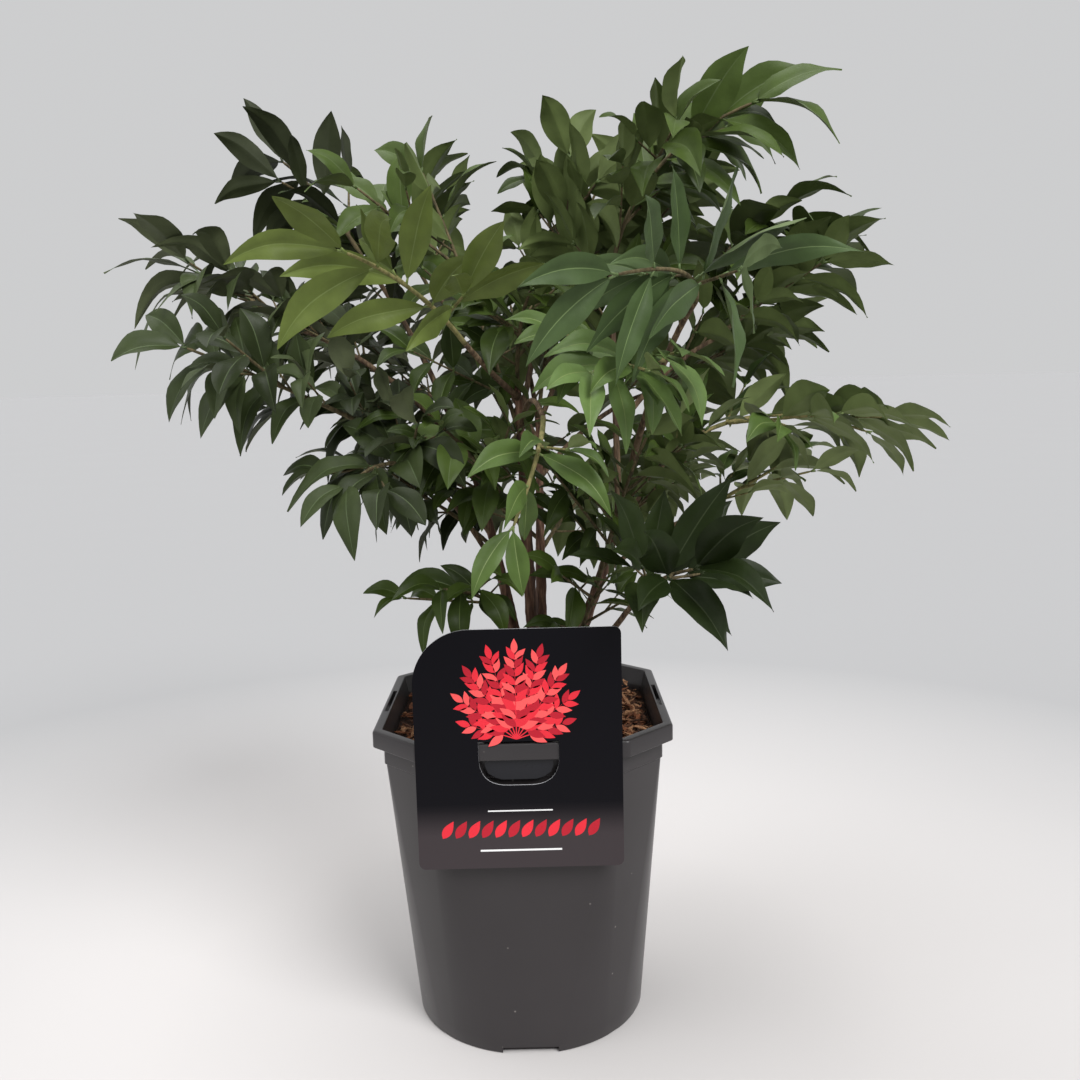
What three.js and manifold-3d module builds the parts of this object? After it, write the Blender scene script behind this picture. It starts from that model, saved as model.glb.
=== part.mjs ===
// A young burning bush in its nursery pot: a five litre pot with a chamfered square rim and a round
// foot, filled with bark mulch, a hanging card label, and a shrub of arching opposite-leaved shoots.
// Millimetres, +Z up. The origin is the middle of the pot's flat underside, and the label faces -Y.
import * as THREE from 'three';
import { mergeVertices } from 'three/addons/utils/BufferGeometryUtils.js';
import Module from 'manifold-3d';

const wasm = await Module();
wasm.setup();

// Driving dimensions of the pot
const POT_HEIGHT = 208;
const FOOT_RADIUS = 75.5;
const RIM_FLATS = 183;
const RIM_CHAMFER = 29;
const RIM_CORNER = 0.8;
const LIP_HEIGHT = 10.5;
const LIP_OVERHANG = 6;
const LIP_ROUNDING = 1.2;
const BAND_HEIGHT = 12;
const BAND_STEP = 1;
const WALL = 1.6;
const FLOOR = 5;
const FOOT_FACET = 34;
const FOOT_CHAMFER_FACET = 12;
const SLOT = { width: 46, depth: 2.6, fromEdge: 2.2 };
const NOTCH = { width: 35, height: 4, depth: 6 };

// Driving dimensions of the mulch and of the card
const MULCH_LEVEL = 193.5;
const MULCH_MOUND = 1.5;
const CARD = {
  left: -62.5, right: 58.5, bottom: 132, top: 276.5, thickness: 0.8, bigCorner: 33, corner: 4,
};
const WINDOW = { left: -25.5, right: 21.5, bottom: 183, top: 209.5, round: 17 };
const TONGUE_WIDTH = 40;

// Driving dimensions of the shrub
const CLEAR = 0.3;
const COLLAR = { x: 12, y: 3, height: 19, foot: 13.5, waist: 10, head: 8.2 };
const STEM_RING = 8.6;
const STEM_SIDES = 8;
const BOUGH_SIDES = 6;
const LIMB_STEP = 46;
const LEAD_TWIG = { foot: 4.4, tip: 3.0, steps: 3 };
const SIDE_TWIG = { foot: 3.4, tip: 2.6, steps: 1 };
const LEAF_PAIRS = {
  spacing: 23.5, fromTip: 1, tipSpread: 26, spreadStep: 4, oddTilt: -12, evenTilt: 28,
  crosswise: 90, dip: 0.1, uprightEase: 0.4,
  growth: [0.84, 1, 1, 0.92, 0.84],
};
const LEAF_VARIES = { roll: 16, spread: 8, facing: 0.5, length: 0.12, droop: 0.5 };
const LEAD_SHOOT = { bare: 0.34, ahead: 0.35, along: 0.15 };
const SIDE_SHOOT = {
  bare: 0.2, leafShare: 0.88, firstAt: 0.12, spanAt: 0.62, ahead: 0.75, aside: 0.85,
  riseVaries: 0.4, reach: 0.62, reachFalls: 0.3, reachVaries: 0.2,
};
const MOST_CROSSING = 0.2;
const CROWDED = 0.003;
const FACING = { outward: 0.9, upward: 0.4 };
const LEAF = { width: 0.42, broadest: 0.45, keel: 0.38, thickness: 0.035, sunk: 0.8 };

// Stems and boughs. Each grows from its parent at a share of its length, to a place given by its
// azimuth in degrees (0 is +X, 270 is the front), its reach from the pot's axis and its height.
const BOUGH_HABIT = { foot: 3.8, tip: 2.8, bow: 0.16 };
const LIMBS = {
  left_stem: {
    from: 'root_collar', at: 0, azimuth: 170, reach: 32, height: 372,
    foot: 8.8, tip: 4.6, bow: 0.12,
  },
  middle_stem: {
    from: 'root_collar', at: 0, azimuth: 275, reach: 20, height: 415,
    foot: 8.6, tip: 4.4, bow: 0.08,
  },
  right_stem: {
    from: 'root_collar', at: 0, azimuth: 355, reach: 66, height: 330,
    foot: 8.8, tip: 5, bow: -0.06,
  },
  back_stem: {
    from: 'root_collar', at: 0, azimuth: 73, reach: 50, height: 390,
    foot: 8.2, tip: 4.6, bow: 0.12,
  },
  low_right_bough: {
    from: 'right_stem', at: 0.12, azimuth: 318, reach: 96, height: 288,
    foot: 4.4, tip: 3.2, bow: -0.06,
  },
  left_high_bough: { from: 'left_stem', at: 0.8, azimuth: 160, reach: 101, height: 492, foot: 4, tip: 3 },
  far_left_bough: { from: 'left_stem', at: 0.97, azimuth: 172, reach: 140, height: 452, foot: 4, tip: 3 },
  left_mid_bough: { from: 'left_stem', at: 0.62, azimuth: 194, reach: 100, height: 394, tip: 3 },
  left_low_bough: {
    from: 'left_stem', at: 0.42, azimuth: 214, reach: 66, height: 360,
    foot: 3.6, bow: 0.14,
  },
  front_left_bough: {
    from: 'middle_stem', at: 0.95, azimuth: 252, reach: 84, height: 438,
    foot: 4.2, tip: 3.2, bow: -0.04,
  },
  top_leader: {
    from: 'middle_stem', at: 0.86, azimuth: 40, reach: 36, height: 485,
    foot: 4, tip: 3, bow: 0.12,
  },
  right_leader: {
    from: 'right_stem', at: 0.97, azimuth: 2, reach: 62, height: 480,
    foot: 4.8, tip: 3.2, bow: 0.08,
  },
  right_high_bough: { from: 'right_leader', at: 0.6, azimuth: 17, reach: 118, height: 474 },
  right_mid_bough: { from: 'right_leader', at: 0.34, azimuth: 356, reach: 124, height: 438 },
  right_low_bough: { from: 'right_stem', at: 0.9, azimuth: 2, reach: 112, height: 376, bow: 0.1 },
  right_under_bough: {
    from: 'right_stem', at: 0.7, azimuth: 16, reach: 126, height: 324,
    foot: 3.6, tip: 2.6, bow: 0.08,
  },
  front_right_bough: {
    from: 'right_stem', at: 0.94, azimuth: 312, reach: 148, height: 456,
    foot: 4.2, tip: 3.2, bow: 0.2,
  },
  front_low_bough: {
    from: 'middle_stem', at: 0.84, azimuth: 277, reach: 136, height: 398,
    foot: 3.4, tip: 2.6, bow: 0.22,
  },
  back_left_high_bough: { from: 'back_stem', at: 0.88, azimuth: 126, reach: 98, height: 478 },
  back_left_bough: { from: 'back_stem', at: 0.7, azimuth: 136, reach: 122, height: 418 },
  back_bough: { from: 'back_stem', at: 0.96, azimuth: 88, reach: 118, height: 436 },
  back_right_high_bough: { from: 'back_stem', at: 0.97, azimuth: 50, reach: 110, height: 484 },
  back_right_bough: { from: 'back_stem', at: 0.74, azimuth: 44, reach: 128, height: 404 },
};

// Masses of foliage. Each leads on from its limb to the place given in the same way, and bears side
// shoots and opposite pairs of leaves. Droop bends a leaf down, lift turns its root upward, rise is how
// steeply the side shoots climb, turn is how far in degrees the pairs are turned round their shoot, flat
// is how far the leaves' faces keep to the plane of the pairs, and spread is how wide the pairs open.
const MASS_HABIT = {
  at: 1, arch: 0.08, leaf: 54, sides: 3, droop: 0.3, lift: 0, rise: 0.1, turn: 35, flat: 0.9,
  spread: 46,
};
const MASSES = {
  left_top: {
    on: 'left_high_bough', azimuth: 160, reach: 162, height: 564, arch: 0.14,
    leaf: 60, droop: 0.25, turn: -75,
  },
  far_left: {
    on: 'far_left_bough', azimuth: 172, reach: 206, height: 490, arch: 0.1,
    leaf: 66, droop: 0.2, lift: 0.05, rise: 0.3, turn: 5,
  },
  left_mid: {
    on: 'left_mid_bough', azimuth: 191, reach: 200, height: 441, arch: 0.02,
    leaf: 46, droop: 0.45, lift: 0.15, rise: 0, turn: 50,
  },
  left_low: {
    on: 'left_low_bough', azimuth: 225, reach: 133, height: 360, leaf: 40,
    droop: 0.4, lift: 0.3, turn: 20,
  },
  left_inner: {
    on: 'left_stem', at: 0.85, azimuth: 176, reach: 108, height: 404,
    arch: 0.1, leaf: 38, droop: 0.35,
  },
  left_under: {
    on: 'left_stem', at: 0.55, azimuth: 155, reach: 104, height: 350,
    arch: 0.15, leaf: 36, sides: 2, droop: 0.35, lift: -0.1,
  },
  low_left: {
    on: 'left_stem', at: 0.3, azimuth: 237, reach: 84, height: 296,
    arch: 0.1, leaf: 33, sides: 2, droop: 0.4, lift: 0.1,
  },
  front_left: {
    on: 'front_left_bough', azimuth: 242, reach: 170, height: 482, leaf: 62,
    droop: 0.22, lift: 0.2, turn: -28, flat: -0.9,
  },
  centre_left: {
    on: 'middle_stem', at: 0.5, azimuth: 240, reach: 84, height: 392,
    arch: 0.12, leaf: 38, droop: 0.35,
  },
  top_middle: {
    on: 'top_leader', azimuth: 40, reach: 50, height: 558, arch: 0,
    leaf: 52, droop: 0.25, turn: 80,
  },
  upper_left: {
    on: 'middle_stem', at: 0.82, azimuth: 148, reach: 68, height: 552,
    arch: 0.06, leaf: 46, sides: 2, droop: 0.3, turn: 60,
  },
  centre_high: { on: 'middle_stem', azimuth: 280, reach: 70, height: 468, arch: 0.06, leaf: 44 },
  centre_right: {
    on: 'right_stem', at: 0.62, azimuth: 315, reach: 108, height: 384,
    arch: 0.12, leaf: 42, sides: 2,
  },
  top_right: {
    on: 'right_leader', azimuth: 352, reach: 149, height: 577, arch: 0.1,
    leaf: 58, droop: 0.25, rise: -0.15, turn: -75, spread: 28,
  },
  right_high: {
    on: 'right_high_bough', azimuth: 13, reach: 182, height: 522, leaf: 58,
    droop: 0.38, lift: -0.05, turn: 0,
  },
  right_mid: {
    on: 'right_mid_bough', azimuth: 0, reach: 198, height: 492,
    droop: 0.22, turn: 30, spread: 36,
  },
  right_low: {
    on: 'right_low_bough', azimuth: 4, reach: 231, height: 377, arch: 0,
    leaf: 56, droop: 0.12, rise: 0, turn: 30, spread: 36,
  },
  right_under: {
    on: 'right_under_bough', azimuth: 22, reach: 210, height: 356, arch: 0.04,
    leaf: 44, droop: 0.28,
  },
  right_inner: {
    on: 'right_stem', at: 0.86, azimuth: 30, reach: 135, height: 366,
    arch: 0.1, leaf: 40, sides: 2,
  },
  front_right: {
    on: 'front_right_bough', azimuth: 287, reach: 178, height: 466, leaf: 66,
    turn: -60, flat: -0.9,
  },
  centre_pale: {
    on: 'front_low_bough', azimuth: 270, reach: 180, height: 346, arch: 0.05,
    leaf: 44, sides: 2, droop: 0.25, spread: 64,
  },
  centre_leafy: { on: 'front_right_bough', at: 0.66, azimuth: 286, reach: 150, height: 420, leaf: 44 },
  low_right: {
    on: 'low_right_bough', azimuth: 315, reach: 142, height: 310, arch: 0,
    leaf: 66, droop: 0.2, lift: 0.35, turn: -80,
  },
  back_left_top: {
    on: 'back_left_high_bough', azimuth: 118, reach: 150, height: 552, arch: 0.06,
    leaf: 56, droop: 0.25, lift: 0.1,
  },
  back_left: { on: 'back_left_bough', azimuth: 143, reach: 226, height: 462, droop: 0.32 },
  back_middle: { on: 'back_bough', azimuth: 92, reach: 198, height: 480, droop: 0.32 },
  back_right_top: {
    on: 'back_right_high_bough', azimuth: 50, reach: 158, height: 558, arch: 0.06,
    leaf: 56, droop: 0.25, lift: 0.1,
  },
  back_right: { on: 'back_right_bough', azimuth: 34, reach: 230, height: 450, droop: 0.32 },
  back_left_low: {
    on: 'back_stem', at: 0.5, azimuth: 128, reach: 170, height: 352,
    arch: 0.16, leaf: 46, sides: 2, droop: 0.35,
  },
  back_right_low: {
    on: 'back_stem', at: 0.46, azimuth: 62, reach: 168, height: 340,
    arch: 0.16, leaf: 46, sides: 2, droop: 0.35,
  },
  back_top: {
    on: 'back_stem', azimuth: 50, reach: 92, height: 545, arch: 0.02,
    leaf: 50, droop: 0.25, lift: 0.1,
  },
  low_middle: {
    on: 'right_stem', at: 0.3, azimuth: 318, reach: 74, height: 298,
    arch: 0.16, leaf: 36, sides: 2, droop: 0.4,
  },
};

const UP = new THREE.Vector3(0, 0, 1);
const add = (a, b, share = 1) => a.clone().addScaledVector(b, share);
const radians = THREE.MathUtils.degToRad;

// A fixed irregular number between -1 and 1 for each set of whole numbers
function wobble(...keys) {
  const weights = [12.9898, 78.233, 37.719, 53.137];
  const x = Math.sin(keys.reduce((sum, key, i) => sum + key * weights[i], 1)) * 43758.5453;
  return 2 * (x - Math.floor(x)) - 1;
}

// Solids from points and faces, from rings of points, and from three.js geometries
function solidOf(points, faces) {
  const mesh = new wasm.Mesh({
    numProp: 3,
    vertProperties: new Float32Array(points.flatMap((p) => [p.x, p.y, p.z])),
    triVerts: new Uint32Array(faces.flat()),
  });
  return new wasm.Manifold(mesh);
}

function solidFromGeometry(geometry) {
  const bare = geometry.index ? geometry.toNonIndexed() : geometry.clone();
  bare.deleteAttribute('normal');
  bare.deleteAttribute('uv');
  const merged = mergeVertices(bare, 1e-3);
  const mesh = new wasm.Mesh({
    numProp: 3,
    vertProperties: new Float32Array(merged.attributes.position.array),
    triVerts: new Uint32Array(merged.index.array),
  });
  return new wasm.Manifold(mesh);
}

function skin(rings) {
  const sides = rings[0].length;
  const points = rings.flat();
  const faces = [];
  for (let ring = 0; ring < rings.length - 1; ring++) {
    for (let side = 0; side < sides; side++) {
      const a = ring * sides + side;
      const b = ring * sides + ((side + 1) % sides);
      faces.push([a, b, b + sides], [a, b + sides, a + sides]);
    }
  }
  const last = (rings.length - 1) * sides;
  for (let side = 1; side < sides - 1; side++) {
    faces.push([0, side + 1, side], [last, last + side, last + side + 1]);
  }
  return solidOf(points, faces);
}

function box(width, depth, height, x, y, z) {
  return solidFromGeometry(new THREE.BoxGeometry(width, depth, height).translate(x, y, z));
}

function largestBody(solid) {
  const bodies = solid.decompose();
  return bodies.reduce((best, body) => (body.volume() > best.volume() ? body : best));
}

// How many corners lie so near another that rounding could weld them
function crowdedCorners(solid) {
  const { vertProperties, numProp } = solid.getMesh();
  const corners = [];
  for (let i = 0; i < vertProperties.length; i += numProp) {
    corners.push(new THREE.Vector3().fromArray(vertProperties, i));
  }
  corners.sort((a, b) => a.x - b.x);
  let crowded = 0;
  corners.forEach((corner, i) => {
    for (let j = i + 1; j < corners.length && corners[j].x - corner.x < CROWDED; j++) {
      if (corner.distanceTo(corners[j]) < CROWDED) crowded++;
    }
  });
  return crowded;
}

// The pot: rings that turn from a circle at the foot to a square with cut corners at the rim
function potRing(z, squareness, halfFlats, grow = 0) {
  const half = halfFlats + grow;
  const cut = RIM_CHAMFER * (half / (RIM_FLATS / 2));
  const radius = FOOT_RADIUS + grow;
  const wide = Math.asin(FOOT_FACET / 2 / FOOT_RADIUS);
  const narrow = Math.asin(FOOT_CHAMFER_FACET / 2 / FOOT_RADIUS);
  const ring = [];
  const arcSteps = 3;
  for (let corner = 0; corner < 8; corner++) {
    const quarter = Math.floor(corner / 2);
    const leading = corner % 2 === 0;
    const turn = (quarter * Math.PI) / 2;
    const square = leading ? new THREE.Vector2(half, half - cut) : new THREE.Vector2(half - cut, half);
    square.rotateAround(new THREE.Vector2(), turn);
    const from = leading ? wide : Math.PI / 4 + narrow;
    const to = leading ? Math.PI / 4 - narrow : Math.PI / 2 - wide;
    for (let step = 0; step <= arcSteps; step++) {
      const share = step / arcSteps;
      const angle = turn + from + (to - from) * share;
      const round = new THREE.Vector2(radius * Math.cos(angle), radius * Math.sin(angle));
      const spread = new THREE.Vector2(-Math.sin(angle), Math.cos(angle));
      const rounding = (share - 0.5) * RIM_CORNER * squareness;
      const point = round.lerp(square, squareness).addScaledVector(spread, rounding);
      ring.push(new THREE.Vector3(point.x, point.y, z));
    }
  }
  return ring;
}

const LIP_HALF = RIM_FLATS / 2;
const BAND_HALF = LIP_HALF - LIP_OVERHANG;
const BODY_HALF = BAND_HALF - BAND_STEP;
const LIP_FOOT = POT_HEIGHT - LIP_HEIGHT;
const BAND_FOOT = LIP_FOOT - BAND_HEIGHT;

function innerRing(z, gap) {
  return potRing(z, Math.min(1, z / BAND_FOOT), BODY_HALF, -gap);
}

function makePot() {
  const outside = [
    potRing(0, 0, BODY_HALF),
    potRing(BAND_FOOT, 1, BODY_HALF),
    potRing(BAND_FOOT + BAND_STEP, 1, BAND_HALF),
    potRing(LIP_FOOT, 1, BAND_HALF),
    potRing(LIP_FOOT + CLEAR, 1, LIP_HALF),
    potRing(POT_HEIGHT - LIP_ROUNDING, 1, LIP_HALF),
    potRing(POT_HEIGHT, 1, LIP_HALF - LIP_ROUNDING),
  ];
  const inside = [
    potRing(POT_HEIGHT, 1, BAND_HALF + CLEAR),
    potRing(LIP_FOOT, 1, BODY_HALF - WALL),
    innerRing(BAND_FOOT, WALL),
    innerRing(FLOOR, WALL),
  ];
  let pot = skin([...outside, ...inside]);
  const slotMiddle = LIP_HALF - SLOT.fromEdge - SLOT.depth / 2;
  for (const [x, y] of [[0, -1], [1, 0], [0, 1], [-1, 0]]) {
    const slotWidth = x ? SLOT.depth : SLOT.width;
    const slotDepth = x ? SLOT.width : SLOT.depth;
    const notchWidth = x ? NOTCH.depth * 2 : NOTCH.width;
    const notchDepth = x ? NOTCH.width : NOTCH.depth * 2;
    const slot = box(slotWidth, slotDepth, LIP_HEIGHT * 3, x * slotMiddle, y * slotMiddle, POT_HEIGHT);
    const notch = box(notchWidth, notchDepth, NOTCH.height * 2, x * FOOT_RADIUS, y * FOOT_RADIUS, 0);
    pot = pot.subtract(slot).subtract(notch);
  }
  return pot;
}

function makeMulch() {
  const gap = WALL + CLEAR;
  const edge = innerRing(MULCH_LEVEL, gap);
  const axis = new THREE.Vector3(0, 0, MULCH_LEVEL + MULCH_MOUND);
  const mound = edge.map((p) => p.clone().lerp(axis, 0.35).setZ(MULCH_LEVEL + MULCH_MOUND));
  return skin([innerRing(FLOOR + CLEAR, gap), innerRing(BAND_FOOT, gap), edge, mound]);
}

// The card: a plate with one large round corner, a window, and a tongue bent back through the lip
const CARD_BACK = -LIP_HALF - CLEAR;

function cardOutline() {
  const { left, right, bottom, top, bigCorner, corner } = CARD;
  const shape = new THREE.Shape();
  shape.moveTo(left + corner, bottom);
  shape.lineTo(right - corner, bottom);
  shape.absarc(right - corner, bottom + corner, corner, -Math.PI / 2, 0);
  shape.absarc(right - corner, top - corner, corner, 0, Math.PI / 2);
  shape.absarc(left + bigCorner, top - bigCorner, bigCorner, Math.PI / 2, Math.PI);
  shape.absarc(left + corner, bottom + corner, corner, Math.PI, Math.PI * 1.5);
  return shape;
}

function windowOutline() {
  const { left, right, bottom, top, round } = WINDOW;
  const hole = new THREE.Path();
  hole.moveTo(left, top);
  hole.lineTo(left, bottom + round);
  hole.quadraticCurveTo(left, bottom, left + round, bottom);
  hole.lineTo(right - round, bottom);
  hole.quadraticCurveTo(right, bottom, right, bottom + round);
  hole.lineTo(right, top);
  hole.closePath();
  return hole;
}

function makeCard() {
  const outline = cardOutline();
  outline.holes.push(windowOutline());
  const settings = { depth: CARD.thickness, bevelEnabled: false, curveSegments: 7 };
  const plate = new THREE.ExtrudeGeometry(outline, settings);
  plate.rotateX(Math.PI / 2).translate(0, CARD_BACK, 0);
  const middle = (WINDOW.left + WINDOW.right) / 2;
  const slotMiddle = -(LIP_HALF - SLOT.fromEdge - SLOT.depth / 2);
  const end = WINDOW.bottom + 2;
  const stations = [
    { y: CARD_BACK - CARD.thickness / 2, z: WINDOW.top + 3, width: TONGUE_WIDTH },
    { y: CARD_BACK - CARD.thickness / 2, z: WINDOW.top + 1, width: TONGUE_WIDTH },
    { y: slotMiddle, z: POT_HEIGHT + CLEAR, width: TONGUE_WIDTH },
    { y: slotMiddle, z: end + 8, width: TONGUE_WIDTH },
    { y: slotMiddle, z: end + 2.5, width: TONGUE_WIDTH * 0.82 },
    { y: slotMiddle, z: end, width: TONGUE_WIDTH * 0.5 },
  ];
  const halfThick = CARD.thickness / 2 - 0.05;
  const rings = stations.map(({ y, z, width }) => [
    new THREE.Vector3(middle - width / 2, y - halfThick, z),
    new THREE.Vector3(middle - width / 2, y + halfThick, z),
    new THREE.Vector3(middle + width / 2, y + halfThick, z),
    new THREE.Vector3(middle + width / 2, y - halfThick, z),
  ]);
  return solidFromGeometry(plate).add(skin(rings));
}

// Stems and boughs: round tapering limbs along a bowed curve
function placeOf({ azimuth, reach, height }) {
  const angle = radians(azimuth);
  return new THREE.Vector3(reach * Math.cos(angle), reach * Math.sin(angle), height);
}

const collarTop = new THREE.Vector3(COLLAR.x, COLLAR.y, MULCH_LEVEL + MULCH_MOUND + COLLAR.height);
const limbCurves = {};

function limbCurve(limb) {
  const end = placeOf(limb);
  let start;
  if (limb.from === 'root_collar') {
    const outward = end.clone().sub(collarTop).setZ(0).normalize();
    start = add(collarTop, outward, STEM_RING).addScaledVector(UP, -COLLAR.height * 0.5);
  } else {
    start = limbCurves[limb.from].getPoint(limb.at);
  }
  const span = end.clone().sub(start);
  const middle = add(start, span, 0.5).addScaledVector(UP, limb.bow * span.length());
  return new THREE.QuadraticBezierCurve3(start, middle, end);
}

function twigSolid(curve, { foot, tip, steps }, grow = 0) {
  return tube(curve, foot, tip, 3, steps, grow);
}

function tube(curve, footDiameter, tipDiameter, sides, steps, grow = 0) {
  const span = curve.v2.clone().sub(curve.v0);
  const across = new THREE.Vector3().crossVectors(span, UP).normalize();
  const rings = [];
  for (let step = 0; step <= steps; step++) {
    const share = step / steps;
    const flow = curve.getTangent(share);
    const beyond = step === 0 ? -grow : step === steps ? grow : 0;
    const middle = add(curve.getPoint(share), flow, beyond);
    const side = add(across, flow, -across.dot(flow)).normalize();
    const over = new THREE.Vector3().crossVectors(side, flow);
    const radius = THREE.MathUtils.lerp(footDiameter, tipDiameter, share) / 2 + grow;
    const ring = [];
    for (let i = 0; i < sides; i++) {
      const angle = (-2 * Math.PI * i) / sides;
      const offset = side.clone().multiplyScalar(radius * Math.cos(angle));
      ring.push(offset.addScaledVector(over, radius * Math.sin(angle)).add(middle));
    }
    rings.push(ring);
  }
  return skin(rings);
}

function limbSolid(limb, curve, grow = 0) {
  const steps = Math.max(2, Math.round(curve.getLength() / LIMB_STEP));
  const sides = limb.from === 'root_collar' ? STEM_SIDES : BOUGH_SIDES;
  return tube(curve, limb.foot, limb.tip, sides, steps, grow);
}

function collarSolid(grow = 0) {
  const foot = MULCH_LEVEL + MULCH_MOUND + CLEAR - grow;
  const top = collarTop.z + grow;
  const profile = [
    [0, foot],
    [COLLAR.foot + grow, foot],
    [COLLAR.waist + grow, foot + COLLAR.height * 0.4],
    [COLLAR.head + grow, top - 1],
    [COLLAR.head - 1.5 + grow, top],
    [0, top],
  ].map(([radius, z]) => new THREE.Vector2(radius, z));
  const lathe = new THREE.LatheGeometry(profile, 14).rotateX(Math.PI / 2);
  return solidFromGeometry(lathe.translate(COLLAR.x, COLLAR.y, 0));
}

// Every finished solid, with the box round it, so that the next one keeps clear of it
const finished = [];

function boxesMeet(a, b) {
  const [lowA, highA, lowB, highB] = [a.min, a.max, b.min, b.max];
  return lowA.every((low, i) => low <= highB[i] && lowB[i] <= highA[i]);
}

function keepClearOf(solid, grown) {
  finished.push({ grown, bounds: grown.boundingBox() });
  return solid;
}

function cutClear(solid) {
  const bounds = solid.boundingBox();
  const met = finished.filter((other) => boxesMeet(bounds, other.bounds));
  return largestBody(met.reduce((rest, other) => rest.subtract(other.grown), solid));
}

function touchesAny(solid) {
  const bounds = solid.boundingBox();
  const near = finished.filter((other) => boxesMeet(bounds, other.bounds));
  return near.some((other) => !solid.intersect(other.grown).isEmpty());
}

// Leaves: a folded blade of six faces, broadest near its middle, that droops to its tip. Its root
// point lies beyond the twig's axis, so the stalk is buried in the twig.
function leafSolid({ root, along, facing, length, droop }, grow = 0) {
  const normal = add(facing, along, -facing.dot(along)).normalize();
  const side = new THREE.Vector3().crossVectors(along, normal);
  const sag = (share) => -length * droop * share * share;
  const at = (share) => add(root, along, length * share).addScaledVector(UP, sag(share));
  const half = (length * LEAF.width) / 2 + grow;
  const broad = add(at(LEAF.broadest), normal, grow);
  const points = [
    add(root, along, -LEAF.sunk),
    add(broad, side, half),
    add(broad, side, -half),
    add(at(1), along, grow),
    add(at(LEAF.keel), normal, -length * LEAF.thickness - grow),
  ];
  const [foot, left, right, tip, keel] = [0, 1, 2, 3, 4];
  const faces = [
    [foot, left, right],
    [left, tip, right],
    [foot, keel, left],
    [foot, right, keel],
    [keel, tip, left],
    [keel, right, tip],
  ];
  return solidOf(points, faces);
}

// Opposite pairs from a shoot's tip back to its bare foot, turned flat on level shoots and crosswise
// on upright ones
function leafPairs(curve, mass, index, order, size, bare) {
  const length = curve.getLength();
  const across = new THREE.Vector3().crossVectors(curve.v2.clone().sub(curve.v0), UP).normalize();
  const leaves = [];
  for (let pair = 0; ; pair++) {
    const share = 1 - (pair * LEAF_PAIRS.spacing + LEAF_PAIRS.fromTip) / length;
    if (share < bare) break;
    const root = curve.getPoint(share);
    const flow = curve.getTangent(share);
    const side = add(across, flow, -across.dot(flow)).normalize();
    const over = new THREE.Vector3().crossVectors(side, flow);
    const upright = THREE.MathUtils.smoothstep(Math.abs(flow.z), 0.6, 0.95);
    const turn = radians(mass.turn + (pair % 2 ? LEAF_PAIRS.crosswise * upright : 0));
    const plane = side.clone().multiplyScalar(Math.cos(turn)).addScaledVector(over, Math.sin(turn));
    const above = new THREE.Vector3().crossVectors(plane, flow);
    const ease = 1 - LEAF_PAIRS.uprightEase * upright;
    const tilt = (pair % 2 ? LEAF_PAIRS.oddTilt : LEAF_PAIRS.evenTilt) * (1 - upright);
    for (const hand of [-1, 1]) {
      const chance = (kind) => wobble(index, order, pair, hand + kind);
      const roll = radians(tilt + LEAF_VARIES.roll * chance(2));
      const fullSpread = mass.spread + LEAF_PAIRS.spreadStep * Math.min(pair, 3);
      const spread = pair === 0 ? LEAF_PAIRS.tipSpread : fullSpread;
      const open = radians(spread + LEAF_VARIES.spread * chance(5));
      const out = plane.clone().multiplyScalar(hand * Math.cos(roll)).addScaledVector(above, Math.sin(roll));
      const along = flow.clone().multiplyScalar(Math.cos(open)).addScaledVector(out, Math.sin(open));
      along.addScaledVector(UP, mass.lift - LEAF_PAIRS.dip).normalize();
      const facing = root.clone().setZ(0).normalize().multiplyScalar(FACING.outward);
      facing.addScaledVector(UP, FACING.upward).addScaledVector(above, mass.flat);
      facing.normalize().addScaledVector(across, LEAF_VARIES.facing * chance(8));
      const growth = LEAF_PAIRS.growth[Math.min(pair, 4)];
      leaves.push({
        root,
        along,
        facing,
        length: size * growth * (1 + LEAF_VARIES.length * chance(11)),
        droop: mass.droop * ease * (1 + LEAF_VARIES.droop * chance(14)),
      });
    }
  }
  return leaves;
}

function leadCurve(mass) {
  const limb = limbCurves[mass.on];
  const start = limb.getPoint(mass.at);
  const tip = placeOf(mass);
  const span = tip.clone().sub(start);
  const length = span.length();
  const flow = mass.at === 1 ? limb.getTangent(1) : span.clone().normalize();
  const middle = add(start, flow, length * LEAD_SHOOT.ahead).addScaledVector(span, LEAD_SHOOT.along);
  return new THREE.QuadraticBezierCurve3(start, middle.addScaledVector(UP, mass.arch * length), tip);
}

function sideCurve(lead, mass, index, order) {
  const share = SIDE_SHOOT.firstAt + (SIDE_SHOOT.spanAt * (order - 0.5)) / mass.sides;
  const length = lead.getLength();
  const start = lead.getPoint(share);
  const flow = lead.getTangent(share);
  const across = new THREE.Vector3().crossVectors(lead.v2.clone().sub(lead.v0), UP).normalize();
  const hand = (order + index) % 2 ? 1 : -1;
  const rise = mass.rise + SIDE_SHOOT.riseVaries * wobble(index, order, 1);
  const heading = flow.clone().multiplyScalar(SIDE_SHOOT.ahead).addScaledVector(UP, rise);
  heading.addScaledVector(across, SIDE_SHOOT.aside * hand).normalize();
  const varies = 1 + SIDE_SHOOT.reachVaries * wobble(index, order, 2);
  const reach = length * (SIDE_SHOOT.reach - SIDE_SHOOT.reachFalls * share) * varies;
  return new THREE.QuadraticBezierCurve3(start, add(start, heading, reach / 2), add(start, heading, reach));
}

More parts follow.
